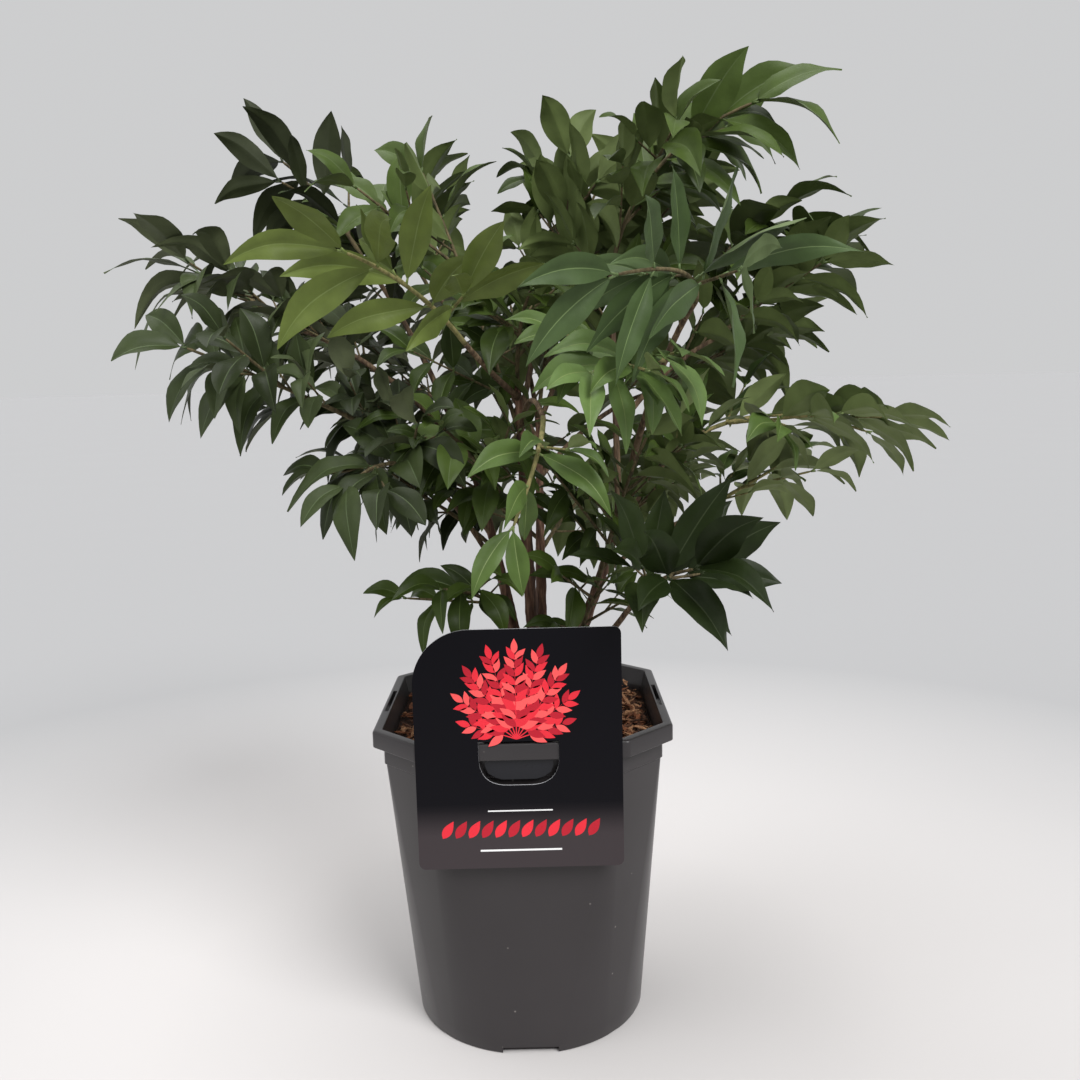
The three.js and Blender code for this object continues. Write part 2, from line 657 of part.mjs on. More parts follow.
function makeMass(mass, index) {
  const lead = leadCurve(mass);
  let solid = cutClear(twigSolid(lead, LEAD_TWIG));
  const shoots = [{ curve: lead, bare: LEAD_SHOOT.bare, size: mass.leaf }];
  for (let order = 1; order <= mass.sides; order++) {
    const curve = sideCurve(lead, mass, index, order);
    if (touchesAny(twigSolid(curve, SIDE_TWIG, CLEAR))) continue;
    solid = solid.add(twigSolid(curve, SIDE_TWIG));
    shoots.push({ curve, bare: SIDE_SHOOT.bare, size: mass.leaf * SIDE_SHOOT.leafShare });
  }
  shoots.forEach(({ curve, bare, size }, order) => {
    for (const leaf of leafPairs(curve, mass, index, order, size, bare)) {
      if (touchesAny(leafSolid(leaf, CLEAR))) continue;
      const blade = leafSolid(leaf);
      if (blade.intersect(solid).volume() > MOST_CROSSING) continue;
      const joined = solid.add(blade);
      if (crowdedCorners(joined) > crowdedCorners(solid)) continue;
      solid = joined;
    }
  });
  return largestBody(solid);
}

// Finishes of the named meshes
const plain = (color, roughness) => new THREE.MeshStandardMaterial({ color, roughness, metalness: 0 });
const POT_PLASTIC = plain(0x3d3a3b, 0.45);
const MULCH_BARK = plain(0x4b3327, 0.95);
const CARD_PLASTIC = plain(0x14141a, 0.25);
const STEM_BARK = plain(0x4f3a30, 0.85);
const FOLIAGE = plain(0x3c5a30, 0.55);

const plant = new THREE.Group();

function addMesh(name, solid, material) {
  const { vertProperties, triVerts, numProp } = solid.getMesh();
  const positions = new Float32Array((vertProperties.length / numProp) * 3);
  for (let i = 0; i < positions.length / 3; i++) {
    positions.set(vertProperties.subarray(i * numProp, i * numProp + 3), i * 3);
  }
  const geometry = new THREE.BufferGeometry();
  geometry.setAttribute('position', new THREE.BufferAttribute(positions, 3));
  geometry.setIndex(new THREE.BufferAttribute(new Uint32Array(triVerts), 1));
  const mesh = new THREE.Mesh(geometry, material);
  mesh.name = name;
  plant.add(mesh);
}

const pot = makePot();
const mulch = makeMulch();
const card = makeCard();
const collar = collarSolid();
addMesh('pot', keepClearOf(pot, pot), POT_PLASTIC);
addMesh('mulch', keepClearOf(mulch, mulch), MULCH_BARK);
addMesh('card_label', keepClearOf(card, card), CARD_PLASTIC);
addMesh('root_collar', keepClearOf(collar, collarSolid(CLEAR)), STEM_BARK);

for (const [name, row] of Object.entries(LIMBS)) {
  const limb = { ...BOUGH_HABIT, ...row };
  const curve = limbCurve(limb);
  limbCurves[name] = curve;
  const solid = cutClear(limbSolid(limb, curve));
  addMesh(name, keepClearOf(solid, limbSolid(limb, curve, CLEAR)), STEM_BARK);
}

Object.entries(MASSES).forEach(([name, row], index) => {
  const solid = makeMass({ ...MASS_HABIT, ...row }, index);
  addMesh(`${name}_foliage`, keepClearOf(solid, solid), FOLIAGE);
});

export default plant;
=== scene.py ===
"""The looks of a young burning bush in its nursery pot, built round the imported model.

The tables and the growth rules are in millimetres, as the solids are, with +Z up and the label facing
-Y. Piece.build turns them into metres. Every irregular amount comes from wobble or from a seeded
generator, so each run gives the same plant.
"""

import cmath
import math
from types import SimpleNamespace as Table

import bmesh
import bpy
import numpy as np
from mathutils import Matrix, Vector


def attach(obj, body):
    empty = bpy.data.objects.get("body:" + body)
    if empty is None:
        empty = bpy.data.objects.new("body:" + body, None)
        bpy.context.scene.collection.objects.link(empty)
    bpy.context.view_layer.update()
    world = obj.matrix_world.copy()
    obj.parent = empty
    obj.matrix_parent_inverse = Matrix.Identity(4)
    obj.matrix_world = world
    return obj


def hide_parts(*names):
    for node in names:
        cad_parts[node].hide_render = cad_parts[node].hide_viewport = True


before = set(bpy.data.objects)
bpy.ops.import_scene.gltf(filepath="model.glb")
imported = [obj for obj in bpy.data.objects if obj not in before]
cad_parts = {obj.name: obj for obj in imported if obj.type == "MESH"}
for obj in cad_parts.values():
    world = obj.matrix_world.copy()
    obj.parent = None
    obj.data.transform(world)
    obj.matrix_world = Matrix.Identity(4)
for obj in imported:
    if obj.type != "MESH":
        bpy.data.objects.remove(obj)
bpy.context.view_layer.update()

MM = 0.001
UP = np.array([0.0, 0.0, 1.0])

# Driving dimensions of the pot, as in the solids
POT_HEIGHT = 208
FOOT_RADIUS = 75.5
RIM_FLATS = 183
RIM_CHAMFER = 29
LIP_HEIGHT = 10.5
LIP_OVERHANG = 6
BAND_HEIGHT = 12
BAND_STEP = 1
WALL = 1.6
FLOOR = 5
FOOT_FACET = 34
FOOT_CHAMFER_FACET = 12
SLOT = Table(width=46, depth=2.6, from_edge=2.2)
NOTCH = Table(width=35, height=4, depth=6)
CORNER_STEPS = 8
CORNER_RADIUS = 4
ROUNDING = Table(band=0.5, lip_foot=0.7, lip_top=1.6, lip_inner=0.9)
LIP_HALF = RIM_FLATS / 2
BAND_HALF = LIP_HALF - LIP_OVERHANG
BODY_HALF = BAND_HALF - BAND_STEP
LIP_FOOT = POT_HEIGHT - LIP_HEIGHT
BAND_FOOT = LIP_FOOT - BAND_HEIGHT
SLOT_MIDDLE = LIP_HALF - SLOT.from_edge - SLOT.depth / 2

# Rings of the pot's outer wall: the height, squareness and growth of those at its rounded foot, and
# the heights of the plain ones
FOOT_RINGS = [(0, 0, -1.2), (0.5, 0.003, -0.3)]
WALL_RINGS = np.linspace(1.5, BAND_FOOT - 0.6, 22)

# Driving dimensions of the mulch and of the card. Sides are the left, right, bottom and top.
MULCH_LEVEL = 193.5
MULCH_MOUND = 1.5
CHIPS = Table(
    count=1700, seed=11, length=(4, 22), cut=(0.5, 1), width=(1.1, 3.6), widest=0.7, thick=(0.25, 0.6),
    height=5.5, tilt=0.22, roll=0.4, bend=0.12, shape=((-0.5, 0.35), (-0.2, 1), (0.2, 0.9), (0.5, 0.4)),
)
CLEAR = 0.3
# The card's last two numbers are the heights between which its painted reflection at the foot blends into
# its black.
CARD = Table(
    sides=(-62.5, 58.5, 132, 276.5), thickness=0.8, big_corner=33, corner=4, fade=(153, 170),
)
WINDOW = Table(sides=(-25.5, 21.5, 183, 209.5), round=17)
TONGUE = Table(width=40, back=1.2, taper=((10, 1), (6, 0.92), (3.2, 0.7), (2, 0.5)))
CARD_BACK = -LIP_HALF - CLEAR
CARD_FRONT = CARD_BACK - CARD.thickness
CARD_MIDDLE = (CARD_BACK + CARD_FRONT) / 2

# Driving dimensions of the shrub, of its leaf pairs and of how much its leaves vary
COLLAR = Table(x=12, y=3, sunk=3, height=19, foot=13.5, waist=10, head=8.2, sides=40, ridges=10)
STEM_RING = 8.6
SPACING = {"lead": 19.5, "side": 18, "fine": 15}
BARE = {"lead": 0.24, "side": 0.16, "fine": 0.2}
TWIG = {"lead": (3.0, 1.7), "side": (2.1, 1.4), "fine": (1.5, 1.1)}
TWIG_SKIN = Table(step=4, sides=7, swelling=0.2, tip=0.35)
STALK = Table(inset=0.6, radii=np.array([0.85, 0.6]), sides=5)
LEAF_CLEAR = Table(limb=4.2, leaf=7.5)
MOST_BLADES = 6000
PAIRS = Table(
    from_tip=1, tip_spread=26, opening=4, tilts=(28, -12), upright=(0.6, 0.95), stiffness=0.4, dip=0.1,
    upward=0.4, growth=(0.84, 1, 1, 0.92, 0.84),
)
VARIES = {"roll": 16, "spread": 8, "facing": 0.5, "length": 0.12, "droop": 0.5}
LEAD_SHOOT = Table(ahead=0.35, along=0.15)

# Shoots along a parent: the number of their first draw, where on the parent they start and over what
# share they stand, how far they lean ahead, aside and up and how that varies, their reach in lengths of
# the lead or, on the limb, in millimetres, how it falls along the parent and varies, and their leaves'
# size. Spurs: where they stand on a side shoot, the same leans, their reach in its lengths, and leaves.
SHOOTS = {
    "side": (1, 0.12, 0.62, 0.75, 0.85, 0, 0.4, 0.62, 0.3, 0.2, 0.88),
    "fine": (10, 0.06, 0.66, 0.6, 0.8, 0.05, 0.55, 0.34, 0.16, 0.25, 0.66),
    "inner": (30, 0.6, 0.38, 0.6, 0.8, 0.3, 0.55, 36, 0, 0.25, 0.76),
}
SPUR = (0.42, 0.7, 0.75, 0.2, 0.5, 0.42, 0.66)

# Stems and boughs: what each grows from and at what share of its length, then the azimuth in degrees,
# reach and height of its end, its diameters at foot and tip, and its bow
LIMBS = {
    "left_stem": ("root_collar", 0, 170, 32, 372, 8.8, 4.6, 0.12),
    "middle_stem": ("root_collar", 0, 275, 20, 415, 8.6, 4.4, 0.08),
    "right_stem": ("root_collar", 0, 355, 66, 330, 8.8, 5, -0.06),
    "back_stem": ("root_collar", 0, 73, 50, 390, 8.2, 4.6, 0.12),
    "low_right_bough": ("right_stem", 0.12, 318, 96, 288, 4.4, 3.2, -0.06),
    "left_high_bough": ("left_stem", 0.8, 160, 101, 492, 4, 3, 0.16),
    "far_left_bough": ("left_stem", 0.97, 172, 140, 452, 4, 3, 0.16),
    "left_mid_bough": ("left_stem", 0.62, 194, 100, 394, 3.8, 3, 0.16),
    "left_low_bough": ("left_stem", 0.42, 214, 66, 360, 3.6, 2.8, 0.14),
    "front_left_bough": ("middle_stem", 0.95, 252, 84, 438, 4.2, 3.2, -0.04),
    "top_leader": ("middle_stem", 0.86, 40, 36, 485, 4, 3, 0.12),
    "right_leader": ("right_stem", 0.97, 2, 62, 480, 4.8, 3.2, 0.08),
    "right_high_bough": ("right_leader", 0.6, 17, 118, 474, 3.8, 2.8, 0.16),
    "right_mid_bough": ("right_leader", 0.34, 356, 124, 438, 3.8, 2.8, 0.16),
    "right_low_bough": ("right_stem", 0.9, 2, 112, 376, 3.8, 2.8, 0.1),
    "right_under_bough": ("right_stem", 0.7, 16, 126, 324, 3.6, 2.6, 0.08),
    "front_right_bough": ("right_stem", 0.94, 312, 148, 456, 4.2, 3.2, 0.2),
    "front_low_bough": ("middle_stem", 0.84, 277, 136, 398, 3.4, 2.6, 0.22),
    "back_left_high_bough": ("back_stem", 0.88, 126, 98, 478, 3.8, 2.8, 0.16),
    "back_left_bough": ("back_stem", 0.7, 136, 122, 418, 3.8, 2.8, 0.16),
    "back_bough": ("back_stem", 0.96, 88, 118, 436, 3.8, 2.8, 0.16),
    "back_right_high_bough": ("back_stem", 0.97, 50, 110, 484, 3.8, 2.8, 0.16),
    "back_right_bough": ("back_stem", 0.74, 44, 128, 404, 3.8, 2.8, 0.16),
}

# Masses of foliage, in the solids' order. Shape: the limb each leads on from, the place of its tip, its
# arch, and its leaves' length and droop. Habit: where on the limb it starts, its side shoots, how its
# leaves stand, and the tone that names their colours. The rest is of the looks alone: the side shoots,
# fine shoots and spurs that are shown, the shoots on the limb itself, how wide the pairs are spaced and
# how bare the foot is, the curl of the tips, how far the faces turn outward, and the leaves' width, size
# and bluntness.
SHAPE = ("on", "azimuth", "reach", "height", "arch", "leaf", "droop")
HABIT = dict(
    at=1, side=3, lift=0, rise=0.1, turn=35, flat=0.9, spread=46, tone="green",
    shown=3, fine=4, spurs=3, inner=0, spacing=1, bare=0, curl=0.6,
    outward=0.9, slim=1, scale=1, blunt=0.2,
)


def mass(*shape, **habit):
    return {**HABIT, **dict(zip(SHAPE, shape)), **habit}


MASSES = {
    "left_top": mass("left_high_bough", 160, 162, 564, 0.14, 60, 0.25, turn=-75, tone="deep", shown=2,
        fine=0, spurs=0, inner=2, spacing=1.15, curl=0.8, slim=0.78, blunt=0.6),
    "far_left": mass("far_left_bough", 172, 206, 490, 0.1, 66, 0.2, lift=0.05, rise=0.3, turn=5,
        tone="dark", fine=3, spurs=1, inner=5, curl=1.5, slim=0.85, blunt=0.4),
    "left_mid": mass("left_mid_bough", 191, 200, 441, 0.02, 46, 0.45, lift=0.15, rise=0, turn=50,
        tone="dark", fine=3, spurs=0, inner=3, curl=1.2, slim=1.2, scale=0.95, blunt=0.9),
    "left_low": mass("left_low_bough", 225, 133, 360, 0.08, 40, 0.4, lift=0.3, turn=20, tone="dark", fine=1,
        spurs=1, spacing=1.2, curl=1.1, outward=1.5, slim=1.25, blunt=1),
    "left_inner": mass("left_stem", 176, 108, 404, 0.1, 38, 0.35, at=0.85, tone="dark", fine=8, curl=1,
        outward=1.4, slim=1.1, blunt=0.9),
    "left_under": mass("left_stem", 155, 104, 350, 0.15, 36, 0.35, at=0.55, side=2, lift=-0.1, tone="dark",
        fine=3, spurs=1, curl=1, outward=1.5, slim=1.1, blunt=0.9),
    "low_left": mass("left_stem", 237, 84, 296, 0.1, 33, 0.4, at=0.3, side=2, lift=0.1, fine=1, spurs=0,
        spacing=1.2, curl=1.2, outward=1.5, scale=0.94, blunt=0.7),
    "front_left": mass("front_left_bough", 242, 170, 482, 0.08, 62, 0.22, lift=0.2, turn=-28, flat=-0.9,
        tone="bright", shown=1, fine=1, spurs=0, spacing=1.1, bare=0.3, curl=0.7, slim=0.8,
        blunt=0.45),
    "centre_left": mass("middle_stem", 240, 84, 392, 0.12, 38, 0.35, at=0.5, fine=8, blunt=0.6),
    "top_middle": mass("top_leader", 40, 50, 558, 0, 52, 0.25, turn=80, inner=3, blunt=0.5),
    "upper_left": mass("middle_stem", 148, 68, 552, 0.06, 46, 0.3, at=0.82, side=2, turn=60, fine=5,
        blunt=0.5),
    "centre_high": mass("middle_stem", 280, 70, 468, 0.06, 44, 0.3, inner=5),
    "centre_right": mass("right_stem", 315, 108, 384, 0.12, 42, 0.3, at=0.62, side=2, fine=7),
    "top_right": mass("right_leader", 352, 149, 577, 0.1, 58, 0.25, rise=-0.15, turn=-75, spread=28, fine=3,
        inner=4),
    "right_high": mass("right_high_bough", 13, 182, 522, 0.08, 58, 0.38, lift=-0.05, turn=0, inner=2),
    "right_mid": mass("right_mid_bough", 0, 198, 492, 0.08, 54, 0.22, turn=30, spread=36, inner=2, blunt=0),
    "right_low": mass("right_low_bough", 4, 231, 377, 0, 56, 0.12, rise=0, turn=30, spread=36, tone="pale",
        fine=2, spurs=1, inner=1, spacing=1.1),
    "right_under": mass("right_under_bough", 22, 210, 356, 0.04, 44, 0.28, tone="pale", fine=2, spurs=1,
        spacing=1.2, blunt=0.6),
    "right_inner": mass("right_stem", 30, 135, 366, 0.1, 40, 0.3, at=0.86, side=2, fine=6, blunt=0.6),
    "front_right": mass("front_right_bough", 287, 178, 466, 0.08, 66, 0.3, turn=-60, flat=-0.9, tone="blue",
        shown=1, fine=1, spurs=0, bare=0.1, curl=0.5, slim=0.74, blunt=0),
    "centre_pale": mass("front_low_bough", 270, 180, 346, 0.05, 44, 0.25, side=2, spread=64, tone="pale",
        shown=0, fine=1, spurs=0, curl=0.7, slim=0.78),
    "centre_leafy": mass("front_right_bough", 286, 150, 420, 0.08, 44, 0.3, at=0.66, tone="pale", fine=3,
        spurs=1, curl=0.7, slim=0.9),
    "low_right": mass("low_right_bough", 315, 142, 310, 0, 66, 0.2, lift=0.35, turn=-80, tone="deep",
        fine=1, spurs=1, spacing=1.1, curl=0.5, outward=1.6, blunt=0),
    "back_left_top": mass("back_left_high_bough", 118, 150, 552, 0.06, 56, 0.25, lift=0.1),
    "back_left": mass("back_left_bough", 143, 226, 462, 0.08, 54, 0.32, tone="dark", fine=6, inner=4),
    "back_middle": mass("back_bough", 92, 198, 480, 0.08, 54, 0.32, tone="dark", inner=4),
    "back_right_top": mass("back_right_high_bough", 50, 158, 558, 0.06, 56, 0.25, lift=0.1),
    "back_right": mass("back_right_bough", 34, 230, 450, 0.08, 54, 0.32, inner=3),
    "back_left_low": mass("back_stem", 128, 170, 352, 0.16, 46, 0.35, at=0.5, side=2, tone="dark", fine=5),
    "back_right_low": mass("back_stem", 62, 168, 340, 0.16, 46, 0.35, at=0.46, side=2),
    "back_top": mass("back_stem", 50, 92, 545, 0.02, 50, 0.25, lift=0.1),
    "low_middle": mass("right_stem", 318, 74, 298, 0.16, 36, 0.4, at=0.3, side=2, fine=2, outward=1.4),
}


# Small mathematics
def wobble(*keys):
    """A fixed irregular number between -1 and 1 for each set of whole numbers."""
    weights = (12.9898, 78.233, 37.719, 53.137)
    x = math.sin(1 + sum(key * weight for key, weight in zip(keys, weights))) * 43758.5453
    return 2 * (x - math.floor(x)) - 1


def unit(v):
    return v / np.maximum(np.linalg.norm(v, axis=-1, keepdims=True), 1e-9)


def lerp(a, b, share):
    return a + (b - a) * share


def smoothstep(x, low, high):
    share = min(max((x - low) / (high - low), 0), 1)
    return share * share * (3 - 2 * share)


def place(azimuth, reach, height):
    angle = math.radians(azimuth)
    return np.array([reach * math.cos(angle), reach * math.sin(angle), height])


class Curve:
    """A quadratic curve from one point to another, bent towards a third."""

    def __init__(self, start, middle, end):
        self.start, self.middle, self.end = start, middle, end
        points = self.point(np.linspace(0, 1, 101)[:, None])
        self.length = float(np.linalg.norm(np.diff(points, axis=0), axis=1).sum())

    def point(self, share):
        rest = 1 - share
        return rest**2 * self.start + 2 * rest * share * self.middle + share**2 * self.end

    def tangent(self, share):
        return unit((1 - share) * (self.middle - self.start) + share * (self.end - self.middle))

    def across(self):
        """A level direction square to the curve's span."""
        aside = np.cross(self.end - self.start, UP)
        return unit(aside) if aside.any() else np.array([1.0, 0, 0])


# Joined meshes
class Piece:
    """Faces gathered for one joined mesh, each with the number of its material."""

    def __init__(self, name, materials):
        self.name, self.materials = name, materials
        self.points, self.faces, self.finishes, self.count = [], [], [], 0

    def add(self, points, faces, finish=0):
        points = np.asarray(points, float).reshape(-1, 3)
        self.points.append(points)
        self.faces.extend([[corner + self.count for corner in face] for face in faces])
        self.finishes.extend([finish] * len(faces) if isinstance(finish, int) else list(finish))
        self.count += len(points)

    def build(self, slot, nodes=(), smooth=True):
        mesh = bpy.data.meshes.new(self.name)
        mesh.from_pydata((np.concatenate(self.points) * MM).tolist(), [], self.faces)
        for material in self.materials:
            mesh.materials.append(material)
        mesh.polygons.foreach_set("material_index", np.array(self.finishes, np.int32))
        mesh.polygons.foreach_set("use_smooth", np.full(len(mesh.polygons), smooth))
        mesh.update()
        obj = add_object(self.name, mesh)
        declare(obj, slot, nodes)
        return obj


def add_object(name, data):
    obj = bpy.data.objects.new(name, data)
    bpy.context.scene.collection.objects.link(obj)
    return obj


def declare(obj, slot, nodes):
    """What the frame has to know of a piece: its body and the nodes that it replaces. The slot is not used.
    """
    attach(obj, "root")
    if nodes:
        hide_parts(*nodes)


def applied(obj):
    """A new mesh of what an object's modifiers or its curve give."""
    shown = obj.evaluated_get(bpy.context.evaluated_depsgraph_get())
    return bpy.data.meshes.new_from_object(shown)


def tube_rings(curve, shares, radii, sides, relief=1):
    """Rings of points round a curve. Relief gives each point's share of the radius."""
    points, flow = curve.point(shares[:, None]), curve.tangent(shares[:, None])
    across = curve.across()
    side = unit(across - flow * (flow @ across)[:, None])
    over = np.cross(side, flow)
    angle = -2 * np.pi * np.arange(sides) / sides
    spoke = side[:, None] * np.cos(angle)[None, :, None] + over[:, None] * np.sin(angle)[None, :, None]
    return points[:, None] + spoke * (radii[:, None] * relief)[..., None]


def add_tube(piece, rings, finish=0):
    """A skin over rings of points, closed by a flat foot and a flat tip."""
    count, sides = rings.shape[:2]
    last = (count - 1) * sides
    faces = []
    for a in range(last):
        b = a + 1 if (a + 1) % sides else a + 1 - sides
        faces.append([a, b, b + sides, a + sides])
    caps = [list(range(sides))[::-1], list(range(last, last + sides))]
    piece.add(rings, faces + caps, finish)


# Materials
def tint(color, share=1):
    """A colour from its shown values of 0 to 255, darkened or lightened by a share."""
    shown = [value / 255 for value in color]
    linear = [s / 12.92 if s <= 0.04045 else ((s + 0.055) / 1.055) ** 2.4 for s in shown]
    return [value * share for value in linear] + [1]


class Finish:
    """A material with one shader, and short calls for the nodes that feed it.

    Colours are given by their shown values. A ramp's stop has a position, a colour and maybe its share.
    """

    def __init__(self, name, color, roughness, specular=0.5):
        self.material = bpy.data.materials.new(name)
        self.material.use_nodes = True
        self.nodes, self.links = self.material.node_tree.nodes, self.material.node_tree.links
        self.shader = self.nodes["Principled BSDF"]
        self.shader.inputs["Base Color"].default_value = tint(color)
        self.shader.inputs["Roughness"].default_value = roughness
        self.shader.inputs["Specular IOR Level"].default_value = specular
        self.place = self.nodes.new("ShaderNodeTexCoord").outputs["Object"]

    def node(self, kind, inputs):
        """A new node with each of its inputs set to a value or linked from another node's output."""
        node = self.nodes.new(kind)
        for name, value in inputs.items():
            if isinstance(value, bpy.types.NodeSocket):
                self.links.new(value, node.inputs[name])
            else:
                node.inputs[name].default_value = value
        return node

    def stretched(self, *scale):
        return self.node("ShaderNodeMapping", {"Vector": self.place, "Scale": scale}).outputs["Vector"]

    def noise(self, scale, detail=3, place=None, distortion=0):
        inputs = {"Scale": scale, "Detail": detail, "Distortion": distortion}
        return self.node("ShaderNodeTexNoise", {"Vector": place or self.place, **inputs}).outputs["Fac"]

    def ramp(self, value, *stops):
        node = self.node("ShaderNodeValToRGB", {"Fac": value})
        ramp = node.color_ramp
        while len(ramp.elements) < len(stops):
            ramp.elements.new(0.5)
        for element, (position, *color) in zip(ramp.elements, stops):
            element.position = position
            element.color = tint(*color)
        return node.outputs["Color"]

    def color_by(self, value, *stops):
        self.links.new(self.ramp(value, *stops), self.shader.inputs["Base Color"])

    def roughness_by(self, value, low, high):
        node = self.node("ShaderNodeMapRange", {"Value": value, "To Min": low, "To Max": high})
        self.links.new(node.outputs["Result"], self.shader.inputs["Roughness"])

    def bump_by(self, value, strength, distance):
        node = self.node("ShaderNodeBump", {"Height": value, "Strength": strength, "Distance": distance})
        self.links.new(node.outputs["Normal"], self.shader.inputs["Normal"])


def leaf_finish(name, color, roughness=0.42, specular=0.15):
    """A waxy leaf face: one colour, faintly mottled, with a finely pebbled gloss."""
    finish = Finish(name, color, roughness, specular)
    finish.color_by(finish.noise(95, 4), (0.3, color, 0.88), (0.7, color, 1.12))
    finish.roughness_by(finish.noise(900, 3), roughness - 0.07, roughness + 0.1)
    finish.bump_by(finish.noise(420, 3), 0.25, 0.0004)
    return finish.material


def bark_finish(name, dark, middle, light):
    """Bark with stripes along the stem and corky flecks."""
    finish = Finish(name, middle, 0.8, 0.25)
    stripes = finish.noise(60, 5, finish.stretched(6, 6, 0.7), 0.6)
    finish.color_by(stripes, (0.32, dark), (0.5, middle), (0.7, light))
    finish.roughness_by(stripes, 0.68, 0.92)
    finish.bump_by(finish.noise(260, 5, finish.stretched(3, 3, 0.8)), 0.7, 0.0012)
    return finish.material


def pot_finish():
    """Moulded plastic: soft gloss, a faint cloudiness and a few specks of dust."""
    color, dust = (47, 44, 45), (140, 134, 130)
    finish = Finish("pot_plastic", color, 0.3, 0.35)
    cells = finish.node("ShaderNodeTexVoronoi", {"Vector": finish.place, "Scale": 62})
    speck = finish.ramp(cells.outputs["Distance"], (0, (255, 255, 255)), (0.05, (0, 0, 0)))
    cloud = finish.ramp(finish.noise(9, 4), (0.3, color, 0.88), (0.7, color, 1.1))
    mix = finish.nodes.new("ShaderNodeMix")
    mix.data_type = "RGBA"
    factor, first, second = mix.inputs["Factor"], mix.inputs[6], mix.inputs[7]
    finish.links.new(speck, factor)
    finish.links.new(cloud, first)
    second.default_value = tint(dust)
    finish.links.new(mix.outputs[2], finish.shader.inputs["Base Color"])
    finish.roughness_by(finish.noise(22, 5), 0.24, 0.38)
    finish.bump_by(finish.noise(14, 4), 0.1, 0.0012)
    return finish.material


def wood_finish(name, dark, light):
    """Shredded wood and bark: fibres in two browns."""
    finish = Finish(name, light, 0.9, 0.2)
    fibre = finish.noise(240, 5, finish.stretched(1, 2.4, 3), 0.8)
    finish.color_by(fibre, (0.35, dark), (0.66, light))
    finish.roughness_by(fibre, 0.8, 0.98)
    finish.bump_by(finish.noise(620, 5), 0.8, 0.001)
    return finish.material


def card_finish(name, color, roughness, specular=0.3, painted_sheen_color=None):
    """Printed plastic card with a faint orange peel. It may take a painted reflection at its foot: a
    lighter sheen painted below a given height that blends into its own colour above it.
    """
    finish = Finish(name, color, roughness, specular)
    if painted_sheen_color:
        # Painted reflection: the card's foot is painted lighter and blends into its own colour between the
        # two heights.
        low, high = CARD.fade
        height = finish.node("ShaderNodeSeparateXYZ", {"Vector": finish.place}).outputs["Z"]
        finish.color_by(height, (low * MM, painted_sheen_color), (high * MM, color))
    else:
        finish.color_by(finish.noise(30, 3), (0.3, color, 0.93), (0.7, color, 1.07))
    finish.roughness_by(finish.noise(55, 4), roughness - 0.05, roughness + 0.07)
    finish.bump_by(finish.noise(160, 2), 0.06, 0.0004)
    return finish.material


# The pot: rings that turn from a circle at the foot to a square with cut corners at the rim
def pot_ring(z, squareness, half_flats, grow=0):
    """Points round the pot at one height: rounded corners, two to a quarter, as complex numbers."""
    half = half_flats + grow
    cut = RIM_CHAMFER * (half / LIP_HALF)
    wide = math.asin(FOOT_FACET / 2 / FOOT_RADIUS)
    narrow = math.asin(FOOT_CHAMFER_FACET / 2 / FOOT_RADIUS)
    corners = [
        (complex(half, half - cut), math.pi / 2, wide, math.pi / 4 - narrow),
        (complex(half - cut, half), math.pi * 3 / 4, math.pi / 4 + narrow, math.pi / 2 - wide),
    ]
    ring = []
    for number in range(8):
        sharp, heading, start, end = corners[number % 2]
        for share in np.linspace(0, 1, CORNER_STEPS + 1):
            turn = math.pi / 4 * share
            bend = complex(math.sin(turn) - math.tan(math.pi / 8), 1 - math.cos(turn))
            square = sharp + cmath.rect(CORNER_RADIUS, heading) * bend
            round_point = cmath.rect(FOOT_RADIUS + grow, lerp(start, end, share))
            point = lerp(round_point, square, squareness) * 1j ** (number // 2)
            ring.append([point.real, point.imag, z])
    return ring


def arc(x, z, radius, start, end, steps=4):
    """Points along an arc round a centre at x and z, between two angles in degrees."""
    angles = np.radians(np.linspace(start, end, steps + 1))
    return [(x + radius * math.cos(a), z + radius * math.sin(a)) for a in angles]


def make_pot(plastic):
    band, lip, top, inner = ROUNDING.band, ROUNDING.lip_foot, ROUNDING.lip_top, ROUNDING.lip_inner
    mouth = BODY_HALF - WALL
    edges = [
        *arc(BAND_HALF - band, BAND_FOOT + band, band, -90, 0),
        (BAND_HALF, LIP_FOOT - 0.2),
        *arc(LIP_HALF - lip, LIP_FOOT + lip, lip, -90, 0),
        *arc(LIP_HALF - top, POT_HEIGHT - top, top, 0, 90, 6),
        *arc(BAND_HALF + CLEAR + inner, POT_HEIGHT - inner, inner, 90, 180),
        (mouth + 0.6, LIP_FOOT + 0.5),
        (mouth, LIP_FOOT - 1),
    ]
    rings = [pot_ring(z, squareness, BODY_HALF, grow) for z, squareness, grow in FOOT_RINGS]
    rings += [pot_ring(z, z / BAND_FOOT, BODY_HALF) for z in WALL_RINGS]
    rings += [pot_ring(z, 1, half) for half, z in edges]
    for z in (BAND_FOOT, BAND_FOOT * 0.6, FLOOR):
        rings.append(pot_ring(z, z / BAND_FOOT, BODY_HALF, -WALL))
    piece = Piece("pot_moulded", [plastic])
    add_tube(piece, np.array(rings))
    pot = piece.build("pot_plastic", ["pot"])
    cut_pot(pot)
    soften(pot, 28)


